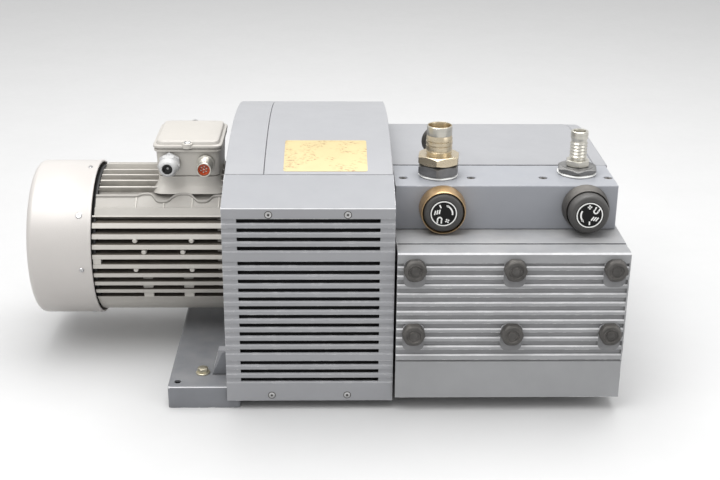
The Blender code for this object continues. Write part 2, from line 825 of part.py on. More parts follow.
def make_manifold():
    block_mesh = block(MANIFOLD_X, MANIFOLD_Y, MANIFOLD_Z)
    manifold = piece("manifold_block", block_mesh, "manifold_paint")
    ports = [
        drum(PORT_BORE_RADIUS, "Z", (port[1], port[2], 0), 0.2000, 0.3000, 24) for port in PORTS
    ]
    cut(manifold, merged(*ports))
    bores = [
        drum(VALVE_BORE_RADIUS, "Y", (x, 0, z), -0.1800, -0.1120, 24)
        for _, x, z, _, _ in VALVES
    ]
    cut(manifold, merged(*bores))


def make_hose_connections():
    for name, x, y, radius, top, flats, reducer_flats, hex_low, hex_high in PORTS:
        axis = (x, y, 0)
        face = MANIFOLD_Z[1] + GAP
        bore = radius - 0.0035
        seat = face + 0.0030
        lower = nut(reducer_flats, "Z", axis, seat, hex_low - GAP)
        lower = piece(f"{name}_reducer", lower, "dark_steel")
        join(lower, drum(0.0255, "Z", axis, face, seat + 0.0005))
        join(lower, drum(PORT_BORE_RADIUS - GAP, "Z", axis, face - 0.0060, face + 0.001, 24))
        cut(lower, drum(radius - 0.0010, "Z", axis, face - 0.02, hex_low + 0.01, 24))

        finish = "brass" if name == "vacuum" else "nickel"
        nozzle = piece(f"{name}_hose_nozzle", nut(flats, "Z", axis, hex_low, hex_high), finish)
        ridge = 0.0006
        profile = [(hex_high - 0.001, 0), (hex_high - 0.001, radius - 0.0012)]
        barbs = 2 if name == "vacuum" else 3
        first = hex_high + 0.004
        for step in range(barbs):
            low = first + step * 0.0062
            profile += [(low, radius - 0.0012), (low + 0.0005, radius + ridge)]
            profile += [(low + 0.0050, radius - 0.0012)]
        profile += [(top - 0.010, radius - 0.0012), (top - 0.008, radius), (top, radius), (top, 0)]
        join(nozzle, turned(profile, "Z", axis, 20))
        join(nozzle, drum(radius - 0.0013, "Z", axis, face - 0.0040, hex_low + 0.001, 24))
        cut(nozzle, drum(bore, "Z", axis, face - 0.02, top + 0.01, 24))


def make_regulating_valves():
    """Each valve: a body in the manifold, a plate on its seat, a spring, and a screwed knob."""
    face = MANIFOLD_Y[0] - GAP
    for name, x, z, body_front, knob_front in VALVES:
        axis = (x, 0, z)
        ring_bore = KNOB_RADIUS + 0.0008
        floor = face - 0.0035
        body = [
            (-0.1260, 0.0090),
            (-0.1260, VALVE_BORE_RADIUS - GAP),
            (face, VALVE_BORE_RADIUS - GAP),
            (face, VALVE_BODY_RADIUS),
            (body_front, VALVE_BODY_RADIUS),
            (body_front, ring_bore),
            (floor, ring_bore),
            (floor, 0.0150),
            (-0.1290, 0.0150),
            (-0.1290, 0.0090),
        ]
        finish = "brass" if name == "vacuum" else "dark_steel"
        piece(f"{name}_valve_body", turned(body, "Y", axis, 28, ring=True), finish)

        pivot = (x, knob_front, z)
        skirt = max(floor - 0.0030, knob_front + 0.0120)
        knob = [
            (knob_front, 0),
            (knob_front, KNOB_RADIUS - 0.0025),
            (knob_front + 0.0025, KNOB_RADIUS),
            (skirt, KNOB_RADIUS),
            (skirt, KNOB_RADIUS - 0.0030),
            (knob_front + 0.0060, KNOB_RADIUS - 0.0030),
            (knob_front + 0.0060, 0.0050),
            (-0.1620, 0.0050),
            (-0.1620, 0),
        ]
        piece(f"{name}_knob", turned(knob, "Y", axis, 28), "knob_plastic", pivot)

        seat = (x, -0.1613, z)
        spring = piece(f"{name}_spring", drum(0.0130, "Y", axis, -0.1617, -0.1590, 16), "bright_steel", seat)
        join(spring, coil(0.0105, 0.0010, 4.5, (x, -0.1340, z), 0.0258))

        plate = piece(
            f"{name}_valve_plate",
            drum(0.0135, "Y", axis, -0.1320, -0.1293, 16),
            "brass",
            (x, -0.1293, z),
        )
        join(plate, drum(0.0080, "Y", axis, -0.1295, -0.1250, 16))


def make_filter_box():
    """The intake housing below the manifold, its cartridge, and the bolted finned cover."""
    x = PUMP_X
    y, z = FILTER_Y, FILTER_Z
    housing = piece("filter_housing", block(x, y, z), "grey_paint")
    wall = 0.006
    cut(
        housing,
        block((x[0] + wall, x[1] - wall), (y[0] - 0.01, y[1] - wall), (z[0] + wall, z[1] - wall)),
    )
    ports = [
        drum(0.0150, "Z", (port[1], port[2], 0), z[1] - 0.02, z[1] + 0.01, 20) for port in PORTS
    ]
    cut(housing, merged(*ports))
    cartridge_axis = (0, -0.1640, 0.1550)
    cartridge = pipe(0.0380, 0.0270, "X", cartridge_axis, 0.0800, 0.3480)
    piece("filter_cartridge", cartridge, "filter_paper")

    back = y[0] - GAP
    front = COVER_FRONT_Y
    root = front + 0.0030  # bottom of the grooves
    ribs = [(z[0], front + 0.0012), (0.0722, front + 0.0012), (0.0740, root), (0.0750, root), (0.0756, front)]
    for row in range(11):
        line = 0.0835 + 0.01234 * row
        under = 0.2104 if row == 10 else line + 0.0060
        ribs += [(line - 0.0014, front), (line + 0.0003, root), (under, root), (under + 0.0006, front)]
    ribs += [(z[1], front)]
    outline = [(depth, height) for height, depth in ribs]
    outline += [(back, z[1]), (back, z[0])]
    cover = piece("filter_cover", prism(outline, "X", *x), "grey_paint")
    pads = [
        drum(0.0180, "Y", (bx, 0, bz), COVER_FRONT_Y - 0.0004, COVER_FRONT_Y + 0.0050, 14)
        for bx in BOLT_X
        for bz in BOLT_Z
    ]
    join(cover, clipped_pads(pads))
    holes = [
        drum(0.0085, "Y", (bx, 0, bz), COVER_FRONT_Y - 0.02, back + 0.01, 12)
        for bx in BOLT_X
        for bz in BOLT_Z
    ]
    cut(cover, merged(*holes))
    face = COVER_FRONT_Y - 0.0004 - GAP
    number = 0
    for bz in BOLT_Z:
        for bx in BOLT_X:
            number += 1
            axis = (bx, 0, bz)
            head = turned(
                [
                    (face, 0),
                    (face, BOLT_FLATS / math.sqrt(3)),
                    (face - BOLT_HEAD + 0.0020, BOLT_FLATS / math.sqrt(3)),
                    (face - BOLT_HEAD, BOLT_FLATS * 0.46),
                    (face - BOLT_HEAD, 0),
                ],
                "Y",
                axis,
                6,
            )
            turn = Matrix.Rotation(math.radians(30), 3, "Y")
            bmesh.ops.rotate(head, cent=axis, verts=head.verts, matrix=turn)
            bolt = piece(f"cover_bolt_{number}", head, "dark_steel")
            join(bolt, drum(0.0080, "Y", axis, face - 0.001, -0.2300, 12))
            cut(bolt, drum(0.0085, "Y", axis, face - BOLT_HEAD - 0.01, face - BOLT_HEAD + 0.003, 16))


def clipped_pads(pads):
    """The bolt pads, trimmed where they would stand past the cover's ends."""
    whole = merged(*pads)
    for edge, normal in ((PUMP_X[0] + 0.0002, -1), (PUMP_X[1] - 0.0002, 1)):
        geometry = whole.verts[:] + whole.edges[:] + whole.faces[:]
        result = bmesh.ops.bisect_plane(
            whole, geom=geometry, plane_co=(edge, 0, 0), plane_no=(normal, 0, 0), clear_outer=True
        )
        rim = [item for item in result["geom_cut"] if isinstance(item, bmesh.types.BMEdge)]
        if rim:
            bmesh.ops.holes_fill(whole, edges=rim, sides=0)
    return whole


def sound_hood_outline(inset):
    """The pump hood's section: flat over the manifold's end, bent down to the back."""
    top = MANIFOLD_Z[1] - inset
    radius = HOOD_BEND_RADIUS - inset
    back = HOOD_BACK_Y - inset
    last = math.degrees(math.asin((back - HOOD_FLAT_Y) / radius))
    bend = arc((HOOD_FLAT_Y, MANIFOLD_Z[1] - HOOD_BEND_RADIUS), radius, 90, 90 - last, 8)
    front = MANIFOLD_Y[1] + GAP + inset
    return [(front, BASE_Z + 0.0046), (front, top), *bend, (back, BASE_Z + 0.0046)]


def make_sound_hood():
    """The pump's sheet hood, open below and at its front, and the panel that closes its end."""
    x = (PUMP_X[0], END_PANEL_X)
    hood = piece("sound_hood", prism(sound_hood_outline(0), "X", *x), "grey_paint")
    sheet = 0.0025
    low = BASE_Z + 0.0046
    hollow = sound_hood_outline(sheet)
    hollow[0] = (hollow[0][0], low - 0.02)
    hollow[-1] = (hollow[-1][0], low - 0.02)
    cut(hood, prism(hollow, "X", x[0] + sheet, x[1] + 0.01))
    cut(hood, drum(0.0350, "X", SHAFT, x[0] - 0.01, x[0] + 0.01, 32))
    cut(hood, block((x[0] + 0.010, x[1] - 0.004), (-0.12, -0.07), (low - 0.01, 0.2200)))
    vents = [
        block((0.1100, 0.3000), (HOOD_BACK_Y - 0.01, HOOD_BACK_Y + 0.01), (z, z + 0.006))
        for z in (0.0700 + 0.014 * row for row in range(8))
    ]
    cut(hood, merged(*vents))
    panel = sound_hood_outline(0)
    piece("end_panel", prism(panel, "X", END_PANEL_X + GAP, PUMP_X[1]), "grey_paint")


clear_scene()
MACHINE = bpy.data.objects.new("MACHINE", None)
bpy.context.scene.collection.objects.link(MACHINE)
MACHINE.location = SHIFT

make_base()
make_motor()
make_housing()
make_panels()
make_hood()
make_pump_shaft()
make_cylinder()
make_manifold()
make_hose_connections()
make_regulating_valves()
make_filter_box()
make_sound_hood()
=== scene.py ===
"""The looks of the rotary vane pump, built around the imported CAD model.

Lengths are in metres. Shapes are drawn in the machine's own frame, with X along the shaft,
Y = 0 at the shaft and Z = 0 on the floor, and HERE moves them into the row frame.
"""

import json
from math import asin, cos, exp, hypot, pi, radians, sin, sqrt, tan

import bmesh
import bpy
from mathutils import Matrix, Vector


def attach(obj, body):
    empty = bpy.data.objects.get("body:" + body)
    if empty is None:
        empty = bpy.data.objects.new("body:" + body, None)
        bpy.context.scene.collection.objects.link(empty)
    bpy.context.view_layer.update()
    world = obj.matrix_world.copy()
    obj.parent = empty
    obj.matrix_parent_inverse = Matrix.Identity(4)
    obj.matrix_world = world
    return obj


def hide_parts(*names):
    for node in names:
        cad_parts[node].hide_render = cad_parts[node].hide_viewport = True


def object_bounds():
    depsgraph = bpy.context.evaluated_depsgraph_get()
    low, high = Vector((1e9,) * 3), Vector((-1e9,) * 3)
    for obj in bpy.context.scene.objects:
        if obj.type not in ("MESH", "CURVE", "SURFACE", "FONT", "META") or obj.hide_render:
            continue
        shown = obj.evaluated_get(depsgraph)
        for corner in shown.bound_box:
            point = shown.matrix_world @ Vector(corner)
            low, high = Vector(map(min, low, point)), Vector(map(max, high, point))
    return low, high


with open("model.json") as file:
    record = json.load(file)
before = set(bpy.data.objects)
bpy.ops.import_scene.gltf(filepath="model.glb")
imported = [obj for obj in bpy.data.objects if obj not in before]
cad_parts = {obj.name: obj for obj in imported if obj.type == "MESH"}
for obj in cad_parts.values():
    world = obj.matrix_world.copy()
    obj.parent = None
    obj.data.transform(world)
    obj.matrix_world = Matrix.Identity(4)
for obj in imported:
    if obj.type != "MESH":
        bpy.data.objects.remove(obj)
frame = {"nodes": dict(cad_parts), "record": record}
cad_low, cad_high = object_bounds()
scene = bpy.context.scene
scene.view_settings.view_transform = "Standard"

SHAFT_Z = 0.150
COWL_END_X = -0.432
HOUSING_FACE = 0.2435
HERE = Vector((cad_low[0] - COWL_END_X, cad_high[1] - HOUSING_FACE, 0))
AXES = {"X": Vector((1, 0, 0)), "Y": Vector((0, 1, 0)), "Z": Vector((0, 0, 1))}


# ---- materials

M = {}
DUST = (0.5, 0.48, 0.45)
HOLLOW_REACH = 0.02
WORN_WIDTH = 0.0016
GRAIN_DEPTH = 0.0006
# the colour of the painted shade that darkens hollows
HOLLOW_SHADE_COLOR = (0.045, 0.04, 0.035)
DUST_ROUGHNESS = 0.85
DULL_SPECULAR = 0.15


def add_node(tree, kind, inputs=None, **settings):
    node = tree.nodes.new("ShaderNode" + kind)
    for key, value in settings.items():
        setattr(node, key, value)
    for key, value in (inputs or {}).items():
        if isinstance(value, bpy.types.NodeSocket):
            tree.links.new(value, node.inputs[key])
        else:
            node.inputs[key].default_value = value
    return node


def noise(tree, where, scale, detail=4.0, roughness=0.55):
    inputs = {"Vector": where, "Scale": scale, "Detail": detail, "Roughness": roughness}
    return add_node(tree, "TexNoise", inputs).outputs["Fac"]


def steps(tree, value, low, high):
    """The value mapped so that low gives 0 and high gives 1, held between them."""
    inputs = {"Value": value, "From Min": low, "From Max": high}
    return add_node(tree, "MapRange", inputs).outputs["Result"]


def multiply(tree, *values):
    product = values[0]
    for value in values[1:]:
        product = add_node(tree, "Math", {0: product, 1: value}, operation="MULTIPLY").outputs[0]
    return product


def mixed(tree, factor, a, b):
    node = add_node(tree, "Mix", data_type="RGBA")
    for socket, value in ((node.inputs[0], factor), (node.inputs[6], a), (node.inputs[7], b)):
        if isinstance(value, bpy.types.NodeSocket):
            tree.links.new(value, socket)
        else:
            socket.default_value = value if isinstance(value, float) else (*value[:3], 1.0)
    return node.outputs[2]


def finish(
    name, color, rough, metal=0.0, mottle=0.08, mottle_scale=9.0, grain=0.12, grain_scale=900.0,
    dust=None, wear=None, streaks=None, hollow_shade=0.0,
):
    """Adds to M a surface with uneven colour, a fine grain, dust, painted shade in its hollows, worn
    edges and tool marks. The painted shade is an ambient-occlusion darkening, patchy by noise. dust and
    wear hold an amount and then a colour.
    streaks is a (x, y, z) stretch that turns noise into lathe rings or brush lines."""
    material = M[name] = bpy.data.materials.new(name)
    material.use_nodes = True
    tree = material.node_tree
    shader = tree.nodes["Principled BSDF"]
    where = add_node(tree, "TexCoord").outputs["Object"]
    normal = add_node(tree, "NewGeometry").outputs["Normal"]

    shade = steps(tree, noise(tree, where, mottle_scale, 5.0), 0.32, 0.68)
    dark = tuple(channel * (1 - mottle) for channel in color)
    light = tuple(min(1.0, channel * (1 + mottle)) for channel in color)
    surface = mixed(tree, shade, dark, light)
    fine = noise(tree, where, mottle_scale * 5)
    inputs = {"Value": fine, "To Min": rough * 0.82, "To Max": rough * 1.2}
    roughness = add_node(tree, "MapRange", inputs).outputs["Result"]

    # painted shade: what the ambient occlusion finds hollow is darkened, in patches
    if hollow_shade:
        hollow = add_node(tree, "AmbientOcclusion", {"Distance": HOLLOW_REACH}, samples=6).outputs["AO"]
        blotch = steps(tree, noise(tree, where, 45.0), 0.25, 0.6)
        amount = multiply(tree, steps(tree, hollow, 0.75, 0.15), hollow_shade, blotch)
        surface = mixed(tree, amount, surface, HOLLOW_SHADE_COLOR)
    if dust:
        up = add_node(tree, "SeparateXYZ", {0: normal}).outputs["Z"]
        patchy = steps(tree, noise(tree, where, 28.0, 6.0, 0.65), 0.35, 0.75)
        amount = multiply(tree, steps(tree, up, 0.1, 0.9), patchy, dust[0])
        surface = mixed(tree, amount, surface, dust[1:])
        inputs = {0: amount, 2: roughness, 3: DUST_ROUGHNESS}
        roughness = add_node(tree, "Mix", inputs, data_type="FLOAT").outputs[0]
    if wear:
        soft = add_node(tree, "Bevel", {"Radius": WORN_WIDTH}, samples=6).outputs["Normal"]
        alike = add_node(tree, "VectorMath", {0: soft, 1: normal}, operation="DOT_PRODUCT")
        edge = steps(tree, alike.outputs["Value"], 0.985, 0.9)
        chips = steps(tree, noise(tree, where, 70.0, 6.0, 0.7), 0.5, 0.6)
        surface = mixed(tree, multiply(tree, edge, chips, wear[0]), surface, wear[1:])

    height = noise(tree, where, grain_scale, 2.0)
    if streaks:
        stretched = add_node(tree, "VectorMath", {0: where, 1: streaks}, operation="MULTIPLY")
        lines = noise(tree, stretched.outputs[0], 1.0, 3.0)
        inputs = {0: multiply(tree, lines, 0.7), 1: height}
        height = add_node(tree, "Math", inputs, operation="ADD").outputs[0]
        surface = mixed(tree, steps(tree, lines, 0.3, 0.7), surface, tuple(c * 0.86 for c in color))
    inputs = {"Height": height, "Strength": grain, "Distance": GRAIN_DEPTH}
    bump = add_node(tree, "Bump", inputs).outputs["Normal"]
    tree.links.new(surface, shader.inputs["Base Color"])
    tree.links.new(roughness, shader.inputs["Roughness"])
    tree.links.new(bump, shader.inputs["Normal"])
    shader.inputs["Metallic"].default_value = metal
    return material


def finish_foil():
    """The name plate: yellow foil with a few faint smudged marks, and no words."""
    tree = finish("label_foil", (0.49, 0.4, 0.205), 0.32, 0.1, mottle=0.12, grain=0.04).node_tree
    base = tree.nodes["Principled BSDF"].inputs["Base Color"]
    plain = base.links[0].from_socket
    where = add_node(tree, "TexCoord").outputs["Object"]
    inputs = {0: where, 1: (160.0, 330.0, 0)}
    stretched = add_node(tree, "VectorMath", inputs, operation="MULTIPLY").outputs[0]
    marks = steps(tree, noise(tree, stretched, 1.0, 4.0, 0.7), 0.5, 0.62)
    patches = steps(tree, noise(tree, where, 38.0, 3.0), 0.47, 0.57)
    ink = multiply(tree, marks, patches, 0.75)
    tree.links.new(mixed(tree, ink, plain, (0.2, 0.085, 0.03)), base)


finish("grey_paint", (0.26, 0.263, 0.275), 0.42, mottle=0.03, grain=0.14, dust=(0.1, 0.4, 0.4, 0.4),
       wear=(0.6, 0.62, 0.62, 0.63))
finish("cover_paint", (0.266, 0.269, 0.275), 0.38, mottle=0.06, mottle_scale=14, grain=0.2,
       dust=(0.35, 0.42, 0.41, 0.4), wear=(0.5, 0.8, 0.8, 0.8), hollow_shade=0.2)
# a darker copy of the cover paint for the ledge's top faces: painted shade against the top light, with
# dust
finish("ledge_shade_paint", (0.24, 0.244, 0.252), 0.4, mottle=0.1, mottle_scale=22, grain=0.2,
       dust=(0.4, 0.34, 0.33, 0.32), wear=(1.0, 0.72, 0.72, 0.72), hollow_shade=0.5)
# a lighter paint for edges: painted highlight on up-facing bevels that catch the top light, with worn
# chips
finish("edge_highlight_and_wear", (0.54, 0.54, 0.55), 0.34, mottle=0.1, mottle_scale=60, grain=0.15,
       wear=(0.8, 0.85, 0.85, 0.85))
# a darker copy of the cover paint for the groove floors: painted shade under the ribs
finish("groove_shade_paint", (0.205, 0.207, 0.213), 0.42, mottle=0.08, mottle_scale=30, grain=0.2, hollow_shade=0.5)
# a darker paint for the raised pads round the bolts
finish("bolt_pad_dark", (0.165, 0.166, 0.17), 0.4, mottle=0.14, mottle_scale=60, grain=0.2, hollow_shade=0.7)
# a darker copy of the grey paint for the top of the grille panel's fold: painted shade
finish("hood_front_shade_paint", (0.218, 0.223, 0.236), 0.42, mottle=0.03, grain=0.14,
       dust=(0.1, 0.36, 0.36, 0.37), wear=(1.0, 0.66, 0.66, 0.67))
finish("manifold_paint", (0.258, 0.267, 0.29), 0.38, mottle=0.05, grain=0.2, grain_scale=600,
       dust=(0.18, 0.42, 0.42, 0.42), wear=(0.9, 0.7, 0.7, 0.7), hollow_shade=0.2)
finish("base_paint", (0.16, 0.166, 0.179), 0.42, mottle=0.14, grain=0.2, dust=(0.4, 0.3, 0.29, 0.28),
       wear=(1.0, 0.66, 0.66, 0.66), hollow_shade=0.4)
# a near-black paint for faces that stand in shadow inside the machine: painted shade
finish("inside_shade_paint", (0.03, 0.032, 0.036), 0.6, dust=(0.2, 0.1, 0.1, 0.1))
finish("motor_paint", (0.47, 0.45, 0.415), 0.38, 0.1, mottle=0.05, grain=0.25, grain_scale=700,
       dust=(0.25, 0.42, 0.38, 0.33), wear=(0.35, 0.75, 0.73, 0.7), hollow_shade=0.45)
# a darker copy of the motor paint for the terminal lid, whose top faces the top light: painted shade
finish("lid_shade_paint", (0.415, 0.396, 0.366), 0.4, 0.1, mottle=0.04, grain=0.2, grain_scale=700,
       wear=(0.4, 0.7, 0.68, 0.65), hollow_shade=0.4)
# a darker copy of the motor paint for the shoulder band, which is part of the same casting: painted
# shade
finish("shoulder_shade_paint", (0.31, 0.296, 0.272), 0.42, 0.1, mottle=0.06, grain=0.25, grain_scale=700,
       dust=(0.2, 0.32, 0.29, 0.26), wear=(0.4, 0.66, 0.64, 0.6), hollow_shade=0.5)
# a near-black paint for the faces inside the fin gaps: painted shade, with dust
finish("fin_gap_shade", (0.105, 0.092, 0.076), 0.7, mottle=0.2, mottle_scale=40, grain=0.4,
       dust=(0.3, 0.16, 0.14, 0.12))
finish("cowl_paint", (0.49, 0.468, 0.448), 0.36, 0.15, mottle=0.03, grain=0.18, grain_scale=1100,
       wear=(0.3, 0.7, 0.69, 0.67))
finish("dark_steel", (0.08, 0.076, 0.072), 0.55, 0.55, mottle=0.3, mottle_scale=60, grain=0.5,
       grain_scale=400, dust=(0.6, 0.25, 0.235, 0.215), wear=(0.5, 0.25, 0.23, 0.21))
finish("reducer_steel", (0.17, 0.17, 0.17), 0.42, 0.8, mottle=0.25, mottle_scale=40, grain=0.3,
       dust=(0.25, *DUST), wear=(0.7, 0.45, 0.44, 0.42))
finish("bright_steel", (0.56, 0.56, 0.56), 0.28, 1.0, grain=0.1, streaks=(500.0, 20.0, 20.0))
finish("cast_iron", (0.16, 0.16, 0.16), 0.62, 0.6, grain=0.6, grain_scale=350)
finish("aluminium", (0.6, 0.61, 0.62), 0.42, 0.9, grain=0.4, grain_scale=500)
finish("brass", (0.66, 0.57, 0.42), 0.28, 1.0, mottle=0.12, mottle_scale=30, grain=0.05,
       streaks=(25.0, 25.0, 900.0), wear=(0.15, 0.72, 0.68, 0.6))
finish("ring_brass", (0.55, 0.375, 0.2), 0.34, 0.9, mottle=0.18, mottle_scale=50, grain=0.15,
       streaks=(30.0, 700.0, 30.0), wear=(0.9, 0.85, 0.66, 0.4))
finish("nickel", (0.62, 0.6, 0.54), 0.32, 1.0, mottle=0.05, mottle_scale=40, grain=0.03,
       streaks=(8.0, 8.0, 900.0), wear=(0.1, 0.85, 0.82, 0.74))
finish("zinc", (0.56, 0.52, 0.4), 0.34, 0.9, mottle=0.2, mottle_scale=80, dust=(0.3, *DUST))
finish("knob_plastic", (0.05, 0.048, 0.046), 0.44, mottle=0.12, mottle_scale=40, grain=0.3,
       grain_scale=1200, dust=(0.35, 0.2, 0.19, 0.18), wear=(0.5, 0.16, 0.15, 0.14))
finish("disc_black", (0.008, 0.008, 0.008), 0.32, grain=0.05, mottle=0.2)
finish("disc_white", (0.78, 0.78, 0.76), 0.45, mottle=0.06, mottle_scale=200)
# this black also serves the blocks and discs behind slots and holes that are painted shade
finish("fan_plastic", (0.012, 0.012, 0.013), 0.6, grain=0.3)
finish("black_rubber", (0.012, 0.012, 0.012), 0.6, grain=0.3)
finish("gland_plastic", (0.43, 0.43, 0.43), 0.36, mottle=0.04, grain=0.08, dust=(0.25, *DUST))
finish("insert_red", (0.52, 0.085, 0.025), 0.34, mottle=0.1, grain=0.1)
finish("carbon", (0.04, 0.04, 0.045), 0.5, 0.1, grain=0.5, grain_scale=600)
finish("elastomer", (0.45, 0.08, 0.04), 0.6, grain=0.2)
finish("filter_paper", (0.72, 0.66, 0.5), 0.9, grain=0.8, grain_scale=300)
finish("seal_white", (0.86, 0.86, 0.84), 0.55, mottle=0.05, grain=0.5, grain_scale=250)
finish_foil()
for dull in ("disc_black", "fan_plastic", "inside_shade_paint"):
    shader = M[dull].node_tree.nodes["Principled BSDF"]
    shader.inputs["Specular IOR Level"].default_value = DULL_SPECULAR
# the CAD's own solids that no piece stands for are drawn with the plain finish of their slot
for entry in frame["record"]["subparts"]:
    node = frame["nodes"][entry["node"]]
    node.data.materials.clear()
    node.data.materials.append(M[entry["material_slot"]])


# ---- mesh tools

SHARP_FROM, BEVEL_FROM = 32, 40  # degrees
SHAFT = (0, 0, SHAFT_Z)


def add_object(name, data):
    obj = bpy.data.objects.new(name, data)
    scene.collection.objects.link(obj)
    return obj


def smoothed(mesh, angle):
    """Smooth shading that breaks at edges sharper than the angle, in degrees."""
    mesh.shade_smooth()
    mesh.set_sharp_from_angle(angle=radians(angle))


def ease(obj, width, segments=2):
    modifier = obj.modifiers.new("Eased", "BEVEL")
    modifier.width, modifier.segments = width, segments
    modifier.limit_method, modifier.angle_limit = "ANGLE", radians(BEVEL_FROM)
    return modifier


def piece(name, bm, material, body="root", stands_for=None, bevel=0.0, segments=2, smooth=SHARP_FROM):
    """The mesh as a piece that rides on a body, with its sharp edges eased by a bevel."""
    bmesh.ops.recalc_face_normals(bm, faces=bm.faces)
    mesh = bpy.data.meshes.new(name)
    moved(bm, None, HERE).to_mesh(mesh)
    bm.free()
    obj = add_object(name, mesh)
    mesh.materials.append(M[material])
    smoothed(mesh, smooth)
    if bevel:
        ease(obj, bevel, segments).harden_normals = True
    if body:
        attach(obj, body)
    if stands_for:
        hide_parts(stands_for)
    return obj


def repaint(obj, material, test):
    """Gives another finish to the faces that pass the test on their middle and outward normal."""
    obj.data.materials.append(M[material])
    for face in obj.data.polygons:
        if test(face.center - HERE, face.normal):
            face.material_index = len(obj.data.materials) - 1


def combine(obj, bm, operation="DIFFERENCE", smooth=SHARP_FROM):
    """Cuts the mesh from the object, or joins it on, and keeps the result."""
    tool = piece("tool", bm, "grey_paint", body=None)
    modifier = obj.modifiers.new(operation, "BOOLEAN")
    modifier.operation = operation
    modifier.object = tool
    modifier.solver = "EXACT"
    graph = bpy.context.evaluated_depsgraph_get()
    mesh = bpy.data.meshes.new_from_object(obj.evaluated_get(graph))
    obj.modifiers.clear()
    obj.data = mesh
    bpy.data.objects.remove(tool)
    smoothed(mesh, smooth)


def merged(meshes):
    whole = bmesh.new()
    for bm in meshes:
        part = bpy.data.meshes.new("part")
        bm.to_mesh(part)
        bm.free()
        whole.from_mesh(part)
        bpy.data.meshes.remove(part)
    return whole


def moved(bm, turn=None, by=(0, 0, 0)):
    if turn:
        axis, degrees = turn
        matrix = Matrix.Rotation(radians(degrees), 3, axis)
        bmesh.ops.rotate(bm, verts=bm.verts, matrix=matrix)
    bmesh.ops.translate(bm, verts=bm.verts, vec=by)
    return bm


def block(x, y, z):
    bm = bmesh.new()
    bmesh.ops.create_cube(bm, size=1.0)
    low, high = (Vector(corner) for corner in zip(x, y, z))
    bmesh.ops.scale(bm, verts=bm.verts, vec=high - low)
    return moved(bm, None, (low + high) / 2)


def loft(rings, closed=False):
    """A skin over rings of points. The ends are filled, unless the last ring meets the first."""
    bm = bmesh.new()
    rows = [[bm.verts.new(point) for point in ring] for ring in rings]
    count = len(rows[0])
    pairs = list(zip(rows, rows[1:]))
    if closed:
        pairs.append((rows[-1], rows[0]))
    for one, two in pairs:
        for i in range(count):
            after = (i + 1) % count
            bm.faces.new([one[i], one[after], two[after], two[i]])
    if not closed:
        bm.faces.new(rows[0])
        bm.faces.new(rows[-1])
    return bm


def prism(outline, axis, *stations):
    """An outline pushed along an axis through the stations. Its points are (Y, Z), (X, Z) or (X, Y)."""
    place = {
        "X": lambda s, a, b: (s, a, b),
        "Y": lambda s, a, b: (a, s, b),
        "Z": lambda s, a, b: (a, b, s),
    }[axis]
    return loft([[place(s, a, b) for a, b in outline] for s in stations])


def around(axis, centre, along, radius, angle):
    """A point at a radius and an angle round an axis through centre."""
    side = AXES["Z"] if axis != "Z" else AXES["X"]
    across = AXES[axis].cross(side)
    spoke = side * cos(angle) + across * sin(angle)
    return Vector(centre) + AXES[axis] * along + spoke * radius


def circle(axis, centre, along, radius, count):
    return [around(axis, centre, along, radius, 2 * pi * i / count) for i in range(count)]


def lathe(profile, axis, centre, count=64, closed=False):
    """A profile of (distance along the axis, radius). A closed one is a ring."""
    rings = [circle(axis, centre, along, max(radius, 0.00002), count) for along, radius in profile]
    return loft(rings, closed)


def drum(axis, centre, low, high, radius, count=48):
    return lathe([(low, 0), (low, radius), (high, radius), (high, 0)], axis, centre, count)


def hexagon_radius(flats, angle):
    return flats / 2 / cos((angle + pi / 6) % (pi / 3) - pi / 6)


def hex_body(flats, axis, centre, low, high, turn=0.0, count=72, ends=(True, True)):
    """A hexagon with the round chamfer that a nut or bolt head has at its ends."""

    def chamfer(end, face, out):
        ring, rim = [], []
        for i in range(count):
            angle = 2 * pi * i / count
            corner = hexagon_radius(flats, angle + turn)
            drop = (corner - flats / 2 * 0.98) * 0.55 if face else 0.0
            ring.append(around(axis, centre, end - out * drop, corner, angle))
            rim.append(around(axis, centre, end, flats / 2 * 0.98 if face else corner, angle))
        return [rim, ring] if face else [ring]

    out = 1 if high > low else -1
    return loft(chamfer(low, ends[0], -out) + chamfer(high, ends[1], out)[::-1])


def polar(radius, angle):
    """(across, up) of the point at a radius and an angle in degrees."""
    return radius * cos(radians(angle)), radius * sin(radians(angle))


def arc(centre, radius, start, end, count):
    spokes = [polar(radius, start + (end - start) * i / count) for i in range(count + 1)]
    return [(centre[0] + across, centre[1] + up) for across, up in spokes]


def rounded_outline(points, radii, count=4):
    """The outline with the corners named in radii, by index, rounded."""
    result = []
    total = len(points)
    for index, point in enumerate(points):
        radius = radii.get(index, 0)
        if not radius:
            result.append(point)
            continue
        corner = Vector(point)
        before = (Vector(points[index - 1]) - corner).normalized()
        after = (Vector(points[(index + 1) % total]) - corner).normalized()
        half = before.angle(after) / 2
        reach = radius / tan(half)
        one, two = corner + before * reach, corner + after * reach
        for step in range(count + 1):
            t = step / count
            bent = one * (1 - t) ** 2 + corner * 2 * t * (1 - t) + two * t**2
            result.append((bent.x, bent.y))
    return result


def rectangle(x, y, radius, count=4):
    points = [(x[0], y[0]), (x[1], y[0]), (x[1], y[1]), (x[0], y[1])]
    return rounded_outline(points, dict.fromkeys(range(4), radius), count)


def screw_head(centre, axis, out, radius, height):
    """A low round screw head with a round socket. out is +1 or -1 along the axis."""
    profile = ((-0.001, radius * 0.9), (0, radius), (height * 0.5, radius * 0.97),
               (height, radius * 0.72), (height, radius * 0.42), (height * 0.2, radius * 0.36),
               (height * 0.2, 0))
    return lathe([(out * along, reach) for along, reach in profile], axis, centre, 28)


# ---- motor

TIP, GAP_FLOOR, TOP_ROOT, BELLY = 0.1068, 0.087, 0.0965, 0.1045
FIN_HALF, FIN_PITCH, FIRST_GAP = 0.0033, 0.01372, 0.058


def half_width(radius, height):
    return sqrt(radius**2 - height**2)


